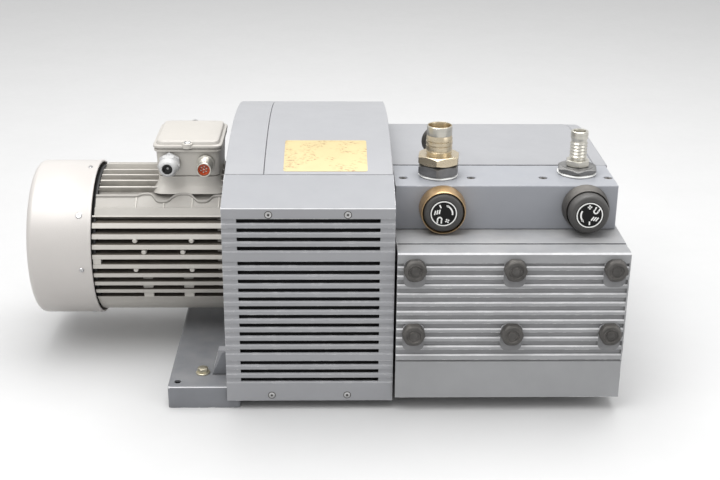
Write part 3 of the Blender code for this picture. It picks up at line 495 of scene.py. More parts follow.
def motor_outline(top_tip):
    """The frame's section: nine gaps down each side, upright fins on top, and a plain belly."""
    half = []
    for index in range(8, -1, -1):
        middle = FIRST_GAP - FIN_PITCH * index
        low, high = middle - FIN_HALF - 0.0003, middle + FIN_HALF + 0.0003
        bottom = half_width(GAP_FLOOR, middle)
        half += [(half_width(TIP, low), low), (bottom, low + 0.0006),
                 (bottom, high - 0.0006), (half_width(TIP, high), high)]
    half += [polar(TIP, 36.6), polar(0.0985, 37.4), polar(0.0975, 45), polar(0.097, 55)]
    edge = 0.0115 * 180 / pi
    for middle in (61, 68, 75, 83):
        half += [polar(TOP_ROOT, middle - edge * 1.5), polar(top_tip, middle - edge),
                 polar(top_tip, middle + edge), polar(TOP_ROOT, middle + edge * 1.5)]
    half.append(polar(TOP_ROOT, 89))
    belly = arc((0, 0), BELLY, -38, -142, 20)
    outline = [(-y, z) for y, z in half] + list(reversed(half)) + belly
    return [(y, SHAFT_Z + z) for y, z in outline]


def shoulder_height(x):
    """Degrees above the horizontal of the shoulder's wavy upper edge at x."""
    wave = 54.0
    for centre, width, rise in (
        (-0.27, 0.01, 1.8), (-0.2477, 0.0125, -5.0), (-0.219, 0.01, 1.8), (-0.1926, 0.012, -5.0),
    ):
        wave += rise * exp(-(((x - centre) / width) ** 4))
    return wave


def on_frame(x, side, radius, degrees):
    """A point on the motor's front (side -1) or back, at degrees above the horizontal."""
    across, up = polar(radius, degrees)
    return x, side * across, SHAFT_Z + up


def motor_shoulder(side):
    """The band above the side fins: a flat lip, a recessed panel, and a wavy rim over it."""
    rings = []
    for index in range(94):
        x = -0.3395 + 0.002 * index
        high = shoulder_height(x)
        section = (
            (0.095, 35.4), (TIP, 35.4), (TIP + 0.0001, 42.6), (0.1042, 43.4), (0.104, high - 2.2),
            (0.106, high - 1.5), (0.1066, high - 0.2), (0.1052, high + 0.3), (0.096, high + 0.9),
        )
        rings.append([on_frame(x, side, radius, degrees) for radius, degrees in section])
    return loft(rings)


def build_motor_frame():
    rings = [
        [(x, y, z) for y, z in motor_outline(tip)]
        for x, tip in ((-0.3428, 0.101), (-0.3368, 0.101), (-0.336, TIP), (-0.1535, TIP))
    ]
    body = piece(
        "motor_frame", loft(rings), "motor_paint", stands_for="stator_frame", bevel=0.0007, smooth=28
    )

    def in_gap(spot, normal):
        height = spot.z - SHAFT_Z
        return -0.056 < height < 0.0615 and hypot(spot.y, height) < 0.1058 and abs(normal.x) < 0.5

    # the faces inside the fin gaps get the dark gap paint: painted shade
    repaint(body, "fin_gap_shade", in_gap)
    shoulders = merged([motor_shoulder(-1), motor_shoulder(1)])
    # the shoulders get the darker copy of the motor paint: painted shade
    piece("motor_shoulders", shoulders, "shoulder_shade_paint", bevel=0.0004, smooth=24)

    lugs = []
    for side in (-1, 1):
        wide, close = (-0.284, -0.2067), (-0.272, -0.2187)
        for gap, places, drop in ((2, wide, 0.0012), (3, close, -0.0008), (5, wide, 0.0012)):
            height = FIRST_GAP - FIN_PITCH * gap
            tip = side * half_width(0.1062, height)
            root, brow = tip - side * 0.018, tip - side * 0.002
            profile = [(root, 0), (root, 0.004), (brow, 0.0038), (tip, 0.0028), (tip, 0)]
            lugs += [lathe(profile, "Y", (x, 0, SHAFT_Z + height + drop), 20) for x in places]
        for gap in (6, 7, 8):
            middle = SHAFT_Z + FIRST_GAP - FIN_PITCH * gap
            reach = half_width(0.1056, middle - SHAFT_Z) - (8 - gap) * 0.0045
            for x in (-0.27, -0.2136):
                outline = rectangle((x - 0.007, x + 0.007), (middle - 0.004, middle + 0.004), 0.002, 2)
                lugs.append(prism(outline, "Y", side * 0.065, side * reach))
        middle = SHAFT_Z + FIRST_GAP - FIN_PITCH * 4
        y = (side * 0.08, side * half_width(0.1064, middle - SHAFT_Z))
        for x in ((-0.342, -0.331), (-0.164, -0.1537)):
            lugs.append(block(x, y, (middle - 0.004, middle + 0.004)))
        for x in (-0.284, -0.2456, -0.2067, -0.17):
            section = ((-0.0018, 0.1032), (-0.0009, 0.1054), (0.0009, 0.1054), (0.0018, 0.1032))
            lugs.append(loft([
                [on_frame(x + across, side, radius, degrees) for across, radius in section]
                for degrees in (42.8, shoulder_height(x) - 2.0)
            ]))
    piece("motor_frame_lugs", merged(lugs), "motor_paint", bevel=0.0006, smooth=40)

    # the rubber ring behind the cowl and the flange against the fan housing
    ring = [(-0.347, 0.08), (-0.347, 0.0985), (-0.3405, 0.1035), (-0.338, 0.1035), (-0.338, 0.08)]
    ring = lathe(ring, "X", SHAFT, 96, True)
    piece("fan_end_ring", ring, "black_rubber", stands_for="fan_end_shield")
    ring = [(-0.1545, 0.07), (-0.1545, 0.1), (-0.1519, 0.1015), (-0.1519, 0.07)]
    piece("drive_end_ring", lathe(ring, "X", SHAFT, 96, True), "motor_paint")


def build_cowl():
    back, front, radius, corner = COWL_END_X - 0.0045, -0.3434, 0.11, 0.0095
    dome = 0.004
    outer = [(back, 0), (back + 0.0003, 0.03), (back + 0.0014, 0.065), (back + 0.0028, 0.085)]
    outer += arc((back + dome + corner, radius - corner), corner, 172, 92, 10)
    outer += [(back + 0.045, radius), (front - 0.006, radius), (front - 0.005, radius + 0.0003),
              (front - 0.0006, radius + 0.0003), (front, radius - 0.0004), (front, radius - 0.0022)]
    inner = [(front - 0.004, radius - 0.0024)]
    inner += arc((back + dome + corner, radius - corner), corner - 0.0022, 92, 172, 8)
    inner += [(back + 0.005, 0.085), (back + 0.0036, 0.065), (back + 0.0024, 0)]
    cowl = lathe(outer + inner, "X", SHAFT, 112)
    cowl = piece("fan_cowl_shell", cowl, "cowl_paint", stands_for="fan_cowl")
    slots = []
    for row in range(-6, 7):
        height = row * 0.0118
        half = half_width(0.078, height)
        for y in ((-half, -0.005), (0.005, half)):
            outline = rectangle(y, (SHAFT_Z + height - 0.0028, SHAFT_Z + height + 0.0028), 0.0026, 3)
            slots.append(prism(outline, "X", back - 0.01, back + 0.012))
    combine(cowl, merged(slots))

    screws = []
    for degrees, x, size in (
        (83, -0.354, 0.0032), (36, -0.36, 0.0046), (-4, -0.3575, 0.0036), (-60, -0.356, 0.0032),
        (128, -0.356, 0.0036), (172, -0.3575, 0.0036), (222, -0.356, 0.0036),
    ):
        head = moved(screw_head((0, 0, 0), "Z", 1, size, 0.0019), ("X", 90 - degrees))
        screws.append(moved(head, None, on_frame(x, -1, radius - 0.0004, degrees)))
    piece("cowl_screws", merged(screws), "bright_steel")


def rounded_box(*levels):
    """A skin over rounded rectangles: low x, high x, half of the width in Y, corner radius, height."""
    return loft([
        [(x, y, z) for x, y in rectangle((low, high), (-half, half), radius, 6)]
        for low, high, half, radius, z in levels
    ])


def build_terminal_box():
    pedestal = rounded_box(
        (-0.264, -0.16, 0.061, 0.02, 0.236), (-0.259, -0.1655, 0.056, 0.016, 0.244),
        (-0.255, -0.1695, 0.0515, 0.011, 0.251), (-0.2545, -0.17, 0.051, 0.01, 0.2583),
    )
    piece("terminal_pedestal", pedestal, "motor_paint", smooth=50)
    shell = rounded_box(
        (-0.2535, -0.171, 0.0495, 0.01, 0.2586), (-0.2548, -0.1697, 0.0508, 0.011, 0.26),
        (-0.2562, -0.1683, 0.0522, 0.011, 0.29), (-0.2562, -0.1683, 0.0522, 0.011, 0.2942),
        (-0.2588, -0.1657, 0.055, 0.012, 0.295), (-0.259, -0.1655, 0.0552, 0.012, 0.2976),
        (-0.2575, -0.167, 0.0535, 0.011, 0.2984), (-0.2575, -0.167, 0.0535, 0.011, 0.2998),
        (-0.2525, -0.172, 0.0485, 0.008, 0.2998), (-0.2525, -0.172, 0.0485, 0.008, 0.263),
    )
    piece("terminal_box_shell", shell, "motor_paint", stands_for="terminal_box", smooth=40)
    lid = rounded_box(
        (-0.259, -0.1656, 0.0552, 0.012, 0.3), (-0.2598, -0.1648, 0.056, 0.012, 0.3006),
        (-0.2598, -0.1648, 0.056, 0.012, 0.303), (-0.2592, -0.1654, 0.0554, 0.012, 0.3038),
        (-0.256, -0.1686, 0.0522, 0.011, 0.3044), (-0.255, -0.1696, 0.0512, 0.011, 0.308),
        (-0.254, -0.1706, 0.0502, 0.01, 0.309), (-0.252, -0.1726, 0.0482, 0.009, 0.3093),
    )
    # the lid gets the darker copy of the motor paint: painted shade
    piece("terminal_lid_cap", lid, "lid_shade_paint", stands_for="terminal_lid", smooth=40)
    boss = [(0.3, 0), (0.3, 0.0074), (0.3062, 0.007), (0.307, 0.006), (0.307, 0)]
    places = [(-0.212, side * 0.052) for side in (-1, 1)]
    lugs = [lathe(boss, "Z", (x, y, 0), 28) for x, y in places]
    piece("terminal_lid_lugs", merged(lugs), "motor_paint")
    screws = [screw_head((x, y, 0.307), "Z", 1, 0.005, 0.002) for x, y in places]
    piece("terminal_lid_screws", merged(screws), "bright_steel")

    centre = (-0.237, 0, 0.279)
    collar = hex_body(0.0268, "Y", centre, -0.0528, -0.06, pi / 6)
    nut = hex_body(0.0262, "Y", centre, -0.0606, -0.072)
    dome = [
        (-0.0715, 0), (-0.0715, 0.0128), (-0.0745, 0.0132), (-0.079, 0.0122), (-0.083, 0.0104),
        (-0.0842, 0.0086), (-0.0842, 0.0072), (-0.079, 0.0068), (-0.079, 0),
    ]
    gland = merged([collar, nut, lathe(dome, "Y", centre, 64)])
    gland = piece("cable_gland_nut", gland, "gland_plastic", stands_for="cable_gland", bevel=0.0005)
    gland.modifiers["Eased"].angle_limit = radians(50)
    bush = [(-0.078, 0), (-0.078, 0.0067), (-0.0832, 0.0067), (-0.0836, 0.0058), (-0.08, 0.0046),
            (-0.0785, 0)]
    piece("cable_gland_bush", lathe(bush, "Y", centre, 40), "black_rubber")

    centre = (-0.1875, 0, 0.279)
    shell = [(-0.0528, 0), (-0.0528, 0.0118), (-0.0545, 0.0122), (-0.059, 0.0122), (-0.06, 0.01)]
    for turn in range(6):
        y = -0.0615 - 0.0028 * turn
        shell += [(y, 0.0092), (y - 0.0007, 0.0099), (y - 0.0019, 0.0099), (y - 0.0026, 0.0092)]
    shell += [(-0.08, 0.0104), (-0.0845, 0.0104), (-0.0856, 0.0098), (-0.0856, 0.0084),
              (-0.07, 0.0082), (-0.07, 0)]
    shell = lathe(shell, "Y", centre)
    piece("power_connector_shell", shell, "nickel", stands_for="power_connector")
    insert = [(-0.07, 0), (-0.07, 0.008), (-0.0836, 0.008), (-0.084, 0.0066), (-0.08, 0.0062),
              (-0.08, 0)]
    piece("connector_insert", lathe(insert, "Y", centre, 48), "insert_red")
    pin = [(-0.0795, 0), (-0.0795, 0.0009), (-0.0828, 0.0009), (-0.0832, 0)]
    middle_pin = [(-0.0795, 0), (-0.0795, 0.0012), (-0.0822, 0.001), (-0.0822, 0)]
    spots = arc((centre[0], centre[2]), 0.0041, 20, 320, 5)
    pins = [lathe(pin, "Y", (x, 0, z), 14) for x, z in spots] + [lathe(middle_pin, "Y", centre, 14)]
    piece("connector_pins", merged(pins), "nickel")


# ---- fan housing

HOUSING_X = (-0.1517, 0.065)
SLOT_PITCH = 0.01227
SLOT_GROUPS = ((0.2649, 4), (0.2078, 11), (0.0681, 3))
SLOTS = [top - SLOT_PITCH * i for top, number in SLOT_GROUPS for i in range(number)]


def hood_height(y, drop=0.0):
    crest, rise = 0.3267, 0.3267 - 0.2818
    radius = (HOUSING_FACE**2 + rise**2) / (2 * rise)
    return crest - radius + sqrt((radius - drop) ** 2 - y**2)


def build_grille(name, side, node):
    """A pressed panel: ribs right across it, slots between the ribs, and a bend at its top."""
    face, groove, back = HOUSING_FACE, 0.0013, 0.003
    profile = [(face, 0.013)]
    for z in reversed(SLOTS):
        profile += [(face, z - 0.0047), (face - groove, z - 0.0031), (face - groove, z + 0.0029),
                    (face, z + 0.0031)]
    bend = [(face, 0.27), (face, hood_height(face)), (0.23, hood_height(0.23))]
    profile += rounded_outline(bend, {1: 0.0022})[1:-1]
    profile += [(y, hood_height(y)) for y in (0.23, 0.22, 0.21, 0.2, 0.19, 0.18, 0.1772)]
    profile += [(0.1766, hood_height(0.1766) - 0.0006), (0.1766, hood_height(0.1766) - back)]
    profile += [(y, hood_height(y, back)) for y in (0.19, 0.205, 0.22, face - back)]
    profile += [(face - back, 0.013)]
    sheet = prism([(side * y, z) for y, z in profile], "X", *HOUSING_X)
    panel = piece(name, sheet, "grey_paint", stands_for=node)
    cuts = []
    for z in SLOTS:
        outline = rectangle((-0.133, 0.0465), (z - 0.0028, z + 0.0028), 0.0007, 1)
        cuts.append(prism(outline, "Y", side * (face - 0.02), side * (face + 0.02)))
    combine(panel, merged(cuts), smooth=26)
    # the up-facing faces of the fold get the darker hood paint: painted shade
    repaint(panel, "hood_front_shade_paint", lambda at, out: at.z > 0.276 and out.z > 0.8)
    # the sloping faces of the bend get the lighter edge paint: a painted highlight
    repaint(panel, "edge_highlight_and_wear", lambda at, out: at.z > 0.276 and 0.25 < out.z < 0.8)
    places = [(x, z) for x in (-0.093, 0.0057) for z in (0.2735, 0.0211)]
    seat, rim = side * (face - 0.001), side * (face + 0.0002)
    rings = [drum("Y", (x, 0, z), seat, rim, 0.005, 32) for x, z in places]
    seat = side * (face - 0.0002)
    screws = [screw_head((x, seat, z), "Y", side, 0.0041, 0.0012) for x, z in places]
    piece(name + "_screws", merged(screws), "bright_steel")
    piece(name + "_screw_rings", merged(rings), "dark_steel")
    # a black block behind the slots that keeps them dark: painted shade
    shade_block = block((-0.144, 0.058), (side * 0.23, side * 0.2325), (0.034, 0.276))
    piece(name + "_shade_block", shade_block, "fan_plastic")


def arched_sheet(x, y, count=28, lift=0.0, thick=0.004):
    """A bent sheet under the hood's arch, over a rectangle of X and Y."""
    places = [y[0] + (y[1] - y[0]) * i / count for i in range(count + 1)]
    top = [(place, hood_height(place) + lift) for place in places]
    return prism(top + [(place, z - thick) for place, z in reversed(top)], "X", *x)


def build_hood():
    seam, strip, rear, edge = 0.1756, -0.1014, 0.143, HOUSING_X[1] - 0.0008
    sheet = arched_sheet((HOUSING_X[0], edge), (-seam, seam))
    hood = piece("hood_shell", sheet, "grey_paint", stands_for="arched_hood")
    combine(hood, block((strip - 0.0003, 0.1), (-0.3, rear + 0.0015), (0.2, 0.4)))
    ease(hood, 0.0008)
    lid = arched_sheet((strip + 0.0003, edge), (-seam, rear - 0.0015))
    piece("hood_lid_panel", lid, "grey_paint", stands_for="hood_lid", bevel=0.0008, smooth=40)
    # a near-black sheet under the hood that keeps the inside dark: painted shade
    shade_lining = arched_sheet((-0.145, 0.059), (-0.225, 0.225), lift=-0.0055)
    piece("hood_shade_lining", shade_lining, "inside_shade_paint", smooth=40)
    label = arched_sheet((-0.08, 0.036), (-0.175, -0.08), 16, 0.0003, 0.0005)
    label = piece("name_plate", label, "label_foil")
    shape = prism(rectangle((-0.0765, 0.0318), (-0.1695, -0.0865), 0.0035), "Z", 0.2, 0.4)
    combine(label, shape, "INTERSECT")


def build_foot_bracket():
    """The folded web that ties the fan housing's corner to the base, front and rear."""
    outline = rounded_outline(
        [(-0.1742, 0.0315), (-0.15, 0.0315), (-0.15, 0.065), (-0.16, 0.065)], {3: 0.004}
    )
    webs = [prism(outline, "Y", side * 0.1935, side * 0.2045) for side in (-1, 1)]
    piece("foot_webs", merged(webs), "base_paint", bevel=0.001)


# ---- pump block

PUMP_X = (0.0682, 0.3622)
BOLT_X = (0.0902, 0.2165, 0.3432)
BOLT_Z = (0.2033, 0.1142)
BOLT_FLATS, BOLT_HEIGHT = 0.027, 0.0105
HOOD_TOP, HOOD_FRONT = 0.285, -0.0789
RIB_PITCH, TOP_RIB = 0.01234, 0.2069


def build_cover():
    """The finned cover, with flat pads where the bolts sit and a plain apron below."""
    face, back, deep, top = 0.2501, 0.2184, 0.003, 0.2246
    profile = [(face - 0.0012, 0.02), (face - 0.0012, 0.0722), (face - 0.003, 0.074),
               (face - 0.003, 0.075), (face, 0.0756)]
    for index in range(10, -1, -1):
        line = TOP_RIB - RIB_PITCH * index
        ends = (line + 0.0059, line + 0.0065) if index else (0.2102, 0.211)
        profile += [(face, line - 0.0018), (face - 0.0016, line - 0.0002), (face - deep, line + 0.0005),
                    (face - deep, ends[0]), (face, ends[1])]
    profile += [(face, top - 0.002), (face - 0.0018, top), (back + 0.0014, top), (back, top - 0.0016),
                (back, 0.02)]
    casting = prism([(-y, z) for y, z in profile], "X", *PUMP_X)
    cover = piece("cover_casting", casting, "cover_paint", stands_for="filter_cover")
    pads = []
    for z in BOLT_Z:
        for x in BOLT_X:
            right = min(x + 0.0142, PUMP_X[1] - 0.002)
            left = max(x - 0.0142, PUMP_X[0] + 0.0004)
            outline = rectangle((left, right), (z - 0.0252, z + 0.0125), 0.011, 6)
            pads.append(prism(outline, "Y", -(face - 0.005), -(face + 0.0001)))
    combine(cover, merged(pads), "UNION")
    border = block((PUMP_X[1] - 0.0018, PUMP_X[1]), (-face, -face + 0.005), (0.074, 0.215))
    combine(cover, border, "UNION", smooth=26)
    # the groove floors get the darker groove paint: painted shade
    repaint(cover, "groove_shade_paint", lambda at, out: at.z < 0.212 and -face + 0.0018 < at.y < -0.24)
    # the up-facing bevels on the ribs get the lighter edge paint: painted highlight lines
    repaint(cover, "edge_highlight_and_wear",
            lambda at, out: 0.07 < at.z and at.y < -face + 0.0015 and 0.2 < out.z < 0.95)
    # the front faces of the raised pads round the bolts get the darker pad paint
    repaint(cover, "bolt_pad_dark", lambda at, out: at.y < -face - 0.00004 and out.y < -0.9)
    # the ledge's top faces get the darker ledge paint: painted shade
    repaint(cover, "ledge_shade_paint", lambda at, out: at.z > 0.2235 and out.z > 0.95)
    # the inner faces of the cover get the near-black paint: painted shade
    repaint(cover, "inside_shade_paint", lambda at, out: at.y > -0.2196 and out.y > 0.3)

    for number, (z, x) in enumerate(((z, x) for z in BOLT_Z for x in BOLT_X), 1):
        head = bolt_head((x, 0, z), -(face + 0.0004), number)
        piece(f"bolt_{number}", head, "dark_steel", stands_for=f"cover_bolt_{number}", smooth=40)


def bolt_head(centre, seat, number):
    """A worn hexagon head with a round chamfer, and a dished top with a raised button."""
    flats, count, top = BOLT_FLATS, 72, seat - BOLT_HEIGHT
    turn = radians(4 * sin(number * 2.3))
    foot, rim = [], []
    for i in range(count):
        angle = 2 * pi * i / count
        corner = min(hexagon_radius(flats, angle + turn), flats / 2 * 1.075)
        foot.append(around("Y", centre, seat, corner, angle))
        rim.append(around("Y", centre, top + 0.0012 + (corner - flats / 2) * 1.3, corner, angle))
    dish = ((0.0003, flats / 2 * 0.93), (0.0, flats / 2 * 0.86), (0.0, 0.0092), (0.0016, 0.0084),
            (0.0018, 0.006), (0.0008, 0.0052), (0.0006, 0.001))
    return loft([foot, rim] + [circle("Y", centre, top + drop, radius, count) for drop, radius in dish])


def build_filter_housing():
    outline = rounded_outline(
        [(-0.2166, 0.02), (-0.2166, 0.2246), (-0.106, 0.2246), (-0.106, 0.02)], {1: 0.0012}, 3
    )
    housing = prism(outline, "X", *PUMP_X)
    housing = piece("intake_housing", housing, "cover_paint", stands_for="filter_housing")
    combine(housing, block((0.0742, 0.3562), (-0.25, -0.112), (0.026, 0.2186)))
    # the ledge's top faces get the darker ledge paint: painted shade
    repaint(housing, "ledge_shade_paint", lambda at, out: at.z > 0.2235 and out.z > 0.5)
    # the housing's front face behind the cover gets the near-black paint: painted shade
    repaint(housing, "inside_shade_paint", lambda at, out: at.y < -0.216 and out.y < -0.7)


def hood_section(inset=0.0, low=0.0355):
    top, radius, back, turn = HOOD_TOP - inset, 0.294 - inset, 0.24 - inset, 0.075
    last = asin((back - turn) / radius) * 180 / pi
    bend = arc((turn, top - radius), radius, 90, 90 - last, 20)
    return [(HOOD_FRONT + inset, low), (HOOD_FRONT + inset, top), *bend, (back, low)]


def build_sound_hood():
    hood = prism(hood_section(), "X", PUMP_X[0], 0.3426)
    hood = piece("pump_hood", hood, "grey_paint", stands_for="sound_hood")
    combine(hood, prism(hood_section(0.0026, 0.02), "X", 0.071, 0.36))
    cuts = [block((0.078, 0.338), (-0.12, -0.07), (0.02, 0.22)), drum("X", SHAFT, 0.05, 0.075, 0.035)]
    for row in range(8):
        z = 0.073 + 0.014 * row
        cuts.append(prism(rectangle((0.11, 0.3), (z - 0.003, z + 0.003), 0.0025, 3), "Y", 0.23, 0.25))
    combine(hood, merged(cuts))
    # the hood's front wall, seen through the gap, gets the near-black paint: painted shade
    repaint(hood, "inside_shade_paint", lambda at, out: at.y < -0.0785 and out.y < -0.9)
    ease(hood, 0.0006)
    # a black block behind the hood's slots that keeps them dark: painted shade
    piece("hood_slot_shade_block", block((0.09, 0.32), (0.2325, 0.235), (0.06, 0.185)), "fan_plastic")
    panel = prism(hood_section(0.0004), "X", 0.3436, PUMP_X[1])
    piece("end_cap_panel", panel, "grey_paint", stands_for="end_panel", bevel=0.0022, segments=3)
    places = [(-0.06, 0.262), (0.09, 0.262), (0.222, 0.196)]
    places += [(y, 0.058) for y in (-0.06, 0.08, 0.222)]
    screws = [screw_head((PUMP_X[1] - 0.0002, y, z), "X", 1, 0.0048, 0.0016) for y, z in places]
    piece("end_panel_screws", merged(screws), "bright_steel")


def build_lifting_eye():
    """A forged eye bolt on the hood's flat top, just behind the larger nozzle."""
    centre, ring_radius, thick = Vector((0.131, -0.042, 0.3075)), 0.0172, 0.0043
    rings = []
    for across, up in arc((0, 0), 1, 0, 352.5, 47):
        rings.append([
            centre + Vector((across, 0, up)) * (ring_radius + out) + Vector((0, along, 0))
            for out, along in arc((0, 0), thick, 0, 337.5, 15)
        ])
    foot = [(0.2846, 0), (0.2846, 0.0112), (0.288, 0.011), (0.2895, 0.008), (0.2925, 0.0056),
            (0.2925, 0)]
    foot = lathe(foot, "Z", (centre.x, centre.y, 0), 40)
    piece("lifting_eye", merged([loft(rings, True), foot]), "dark_steel", smooth=50)


VACUUM_AT, PRESSURE_AT = (0.127, -0.122, 0), (0.3135, -0.113, 0)


def build_manifold():
    bar = block((PUMP_X[0], 0.3584), (-0.1674, -0.0824), (0.225, HOOD_TOP))
    manifold = piece("manifold_body", bar, "manifold_paint", stands_for="manifold_block")
    screws = [(x, -0.133, 0) for x in (0.0796, 0.1695, 0.265, 0.3515)]
    holes = [drum("Z", place, 0.26, 0.3, 0.0175) for place in (VACUUM_AT, PRESSURE_AT)]
    holes += [drum("Z", place, 0.279, 0.286, 0.0056, 24) for place in screws]
    combine(manifold, merged(holes))
    ease(manifold, 0.0012)
    plug = [(0.2785, 0), (0.2785, 0.0046), (0.2836, 0.0046), (0.2841, 0.0038), (0.2841, 0.0024),
            (0.2815, 0.0022), (0.2815, 0)]
    piece("manifold_screws", merged([lathe(plug, "Z", place, 24) for place in screws]), "dark_steel")


def build_nozzle(name, centre, hex_flats, reducer_flats, low, high, sections, bore, finish_name):
    """A reducer on a seal ring, and a turned hose nozzle with a hexagon screwed into it."""
    seat, turn = 0.2883, radians(8)
    reducer = merged([
        hex_body(reducer_flats, "Z", centre, seat + 0.0004, low - 0.0012, turn),
        drum("Z", centre, seat - 0.003, low - 0.0006, reducer_flats * 0.42),
    ])
    piece(f"{name}_bush", reducer, "reducer_steel", stands_for=f"{name}_reducer", smooth=30)

    def swollen(radius, angle):
        """The seal ring's squeezed-out rubber is a little uneven."""
        if radius < 0.022:
            return radius
        return radius * (1 + 0.012 * sin(3 * angle + centre[0] * 40) + 0.008 * sin(7 * angle))

    angles = [2 * pi * i / 72 for i in range(72)]
    section = ((0.0215, 0.2852), (0.025, 0.2852), (0.0262, 0.2862), (0.0258, 0.288), (0.0215, 0.2882))
    seal = [
        [around("Z", centre, height, swollen(radius, angle), angle) for angle in angles]
        for radius, height in section
    ]
    piece(f"{name}_seal_ring", loft(seal, True), "seal_white")

    nut = hex_body(hex_flats, "Z", centre, low, high, turn)
    top, radius = sections[-1]
    tube = [(high - 0.001, 0), (high - 0.001, sections[0][1]), *sections, (top, radius - 0.0006),
            (top + 0.0006, radius - 0.0016), (top + 0.0004, bore + 0.0004), (top - 0.001, bore),
            (low + 0.002, bore), (low + 0.002, 0)]
    nozzle = merged([nut, lathe(tube, "Z", centre, 72)])
    piece(f"{name}_nozzle", nozzle, finish_name, stands_for=f"{name}_hose_nozzle", smooth=28)


def build_nozzles():
    sections = [
        (0.3168, 0.0148), (0.3174, 0.0158), (0.3198, 0.016), (0.3204, 0.0154), (0.321, 0.0154),
        (0.3216, 0.0162), (0.3272, 0.0161), (0.3278, 0.0153), (0.3286, 0.0153), (0.3292, 0.0164),
        (0.333, 0.0163), (0.3336, 0.0154), (0.3344, 0.0154), (0.335, 0.0163), (0.34, 0.0156),
        (0.3415, 0.0151), (0.353, 0.0151),
    ]
    sections = [(height, radius * 1.07) for height, radius in sections]
    build_nozzle("vacuum", VACUUM_AT, 0.052, 0.0512, 0.303, 0.315, sections, 0.0146, "brass")
    sleeve = [(0.3412, 0.0158), (0.3412, 0.0164), (0.3418, 0.0166), (0.3528, 0.0166), (0.3537, 0.016),
              (0.3537, 0.0158)]
    piece("vacuum_nozzle_sleeve", lathe(sleeve, "Z", VACUUM_AT, 72, True), "nickel")
    small = 0.0108
    sections = [(0.3052, small - 0.0014), (0.3072, small - 0.002)]
    for ridge in range(5):
        low = 0.3078 + ridge * 0.0044
        sections += [(low, small - 0.0008), (low + 0.0006, small + 0.0004),
                     (low + 0.0016, small + 0.0009), (low + 0.0036, small - 0.0006)]
    sections += [(0.3306, small - 0.0006), (0.332, small - 0.0004), (0.3336, small + 0.0004),
                 (0.3352, small + 0.0008), (0.3432, small + 0.0007)]
    build_nozzle("pressure", PRESSURE_AT, 0.029, 0.0495, 0.2965, 0.3045, sections, 0.0078, "nickel")


# ---- regulating knobs

MARK_THICK = 0.0003


def flat_ring(inner, outer, start, end, y, centre=(0, 0), count=40):
    """Part of a flat ring in the XZ plane, from one angle to another."""
    rings = []
    corners = ((inner, y), (outer, y), (outer, y - MARK_THICK), (inner, y - MARK_THICK))
    for across, up in arc((0, 0), 1, start, end, count):
        rings.append([(centre[0] + across * r, depth, centre[1] + up * r) for r, depth in corners])
    return loft(rings)


def knob_marks(centre, y, turn):
    """Raised white marks on a knob's disc: a rim, an arrow's arc, plus, minus and a few bars."""

    def bar(width, height, x, z, tilt=0.0):
        half, tall = width / 2, height / 2
        mark = moved(block((-half, half), (y - MARK_THICK, y), (-tall, tall)), ("Y", tilt))
        return moved(mark, None, (x, 0, z))

    def spoke_bar(angle, radius, along, across):
        """A bar at a place round the disc, long in the direction away from the centre."""
        return bar(along, across, *polar(radius, angle), -angle)

    head = prism([(-0.0018, 0), (0.0018, 0), (0, 0.0034)], "Y", y - MARK_THICK, y)
    marks = [
        flat_ring(0.0156, 0.017, 0, 359.9, y, count=72),
        flat_ring(0.0103, 0.0123, -8, 66, y, count=16),
        flat_ring(0.0018, 0.0036, -40, 220, y, (-0.005, -0.0078), 12),
        moved(head, ("Y", -62), (0.0057, 0, 0.0098)),
        spoke_bar(115, 0.0108, 0.0046, 0.0018),
        spoke_bar(-64, 0.011, 0.0056, 0.0019),
        spoke_bar(-64, 0.011, 0.0019, 0.0056),
        bar(0.0018, 0.0044, -0.008, -0.0108),
        bar(0.0018, 0.0044, -0.0028, -0.0112),
    ]
    marks += [bar(0.0016, 0.006, -0.0112 + 0.0029 * i, 0.0012 + 0.0007 * i, 12) for i in range(3)]
    return moved(merged(marks), ("Y", turn), (centre[0], 0, centre[2]))


def build_knobs():
    """The knobs, their marked discs, and the brass or dark rings that they sit in."""
    face = -0.1677
    for name, x, z, front, knob_front, turn in (
        ("vacuum", 0.1295, 0.2558, -0.1904, -0.1918, 0),
        ("pressure", 0.316, 0.257, -0.1874, -0.201, -157.0),
    ):
        centre, radius = (x, 0, z), 0.0262
        collar = [
            (face, 0.015), (face, 0.0303), (face - 0.0012, 0.0305), (face - 0.005, 0.0304),
            (front + 0.004, 0.0293), (front + 0.0012, 0.0287), (front, 0.0282), (front, 0.0276),
            (front + 0.0016, 0.0271), (face - 0.0035, 0.0271), (face - 0.0035, 0.015),
        ]
        stem = [(-0.1262, 0.009), (-0.1262, 0.0196), (face + 0.0004, 0.0196), (face + 0.0004, 0.0155),
                (-0.129, 0.0152), (-0.129, 0.009)]
        ring = merged([lathe(collar, "Y", centre, 80, True), lathe(stem, "Y", centre, 48, True)])
        metal = "ring_brass" if name == "vacuum" else "dark_steel"
        piece(f"{name}_valve_ring", ring, metal, stands_for=f"{name}_valve_body", smooth=30)
        rear, seat = max(face - 0.0065 - knob_front, 0.012), -0.1622 - knob_front
        knob = [(knob_front + depth, reach) for depth, reach in (
            (0.001, 0), (0.001, 0.0174), (0.0008, 0.018), (0, 0.0184), (0, 0.0226), (0.0008, 0.0242),
            (0.0024, 0.0254), (0.0048, 0.0261), (0.01, radius), (rear, radius), (rear, radius - 0.003),
            (0.006, radius - 0.003), (0.006, 0.005), (seat, 0.005), (seat, 0),
        )]
        body = f"{name}_knob"
        piece(f"{name}_knob_cap", lathe(knob, "Y", centre, 96), "knob_plastic", body, body, smooth=30)
        disc = ((0.0014, 0), (0.0014, 0.0171), (0.0002, 0.0173), (0, 0.017), (0, 0))
        disc = [(knob_front + depth, reach) for depth, reach in disc]
        piece(f"{name}_knob_disc", lathe(disc, "Y", centre, 72), "disc_black", body)
        piece(f"{name}_knob_marks", knob_marks(centre, knob_front, turn), "disc_white", body)


# ---- base


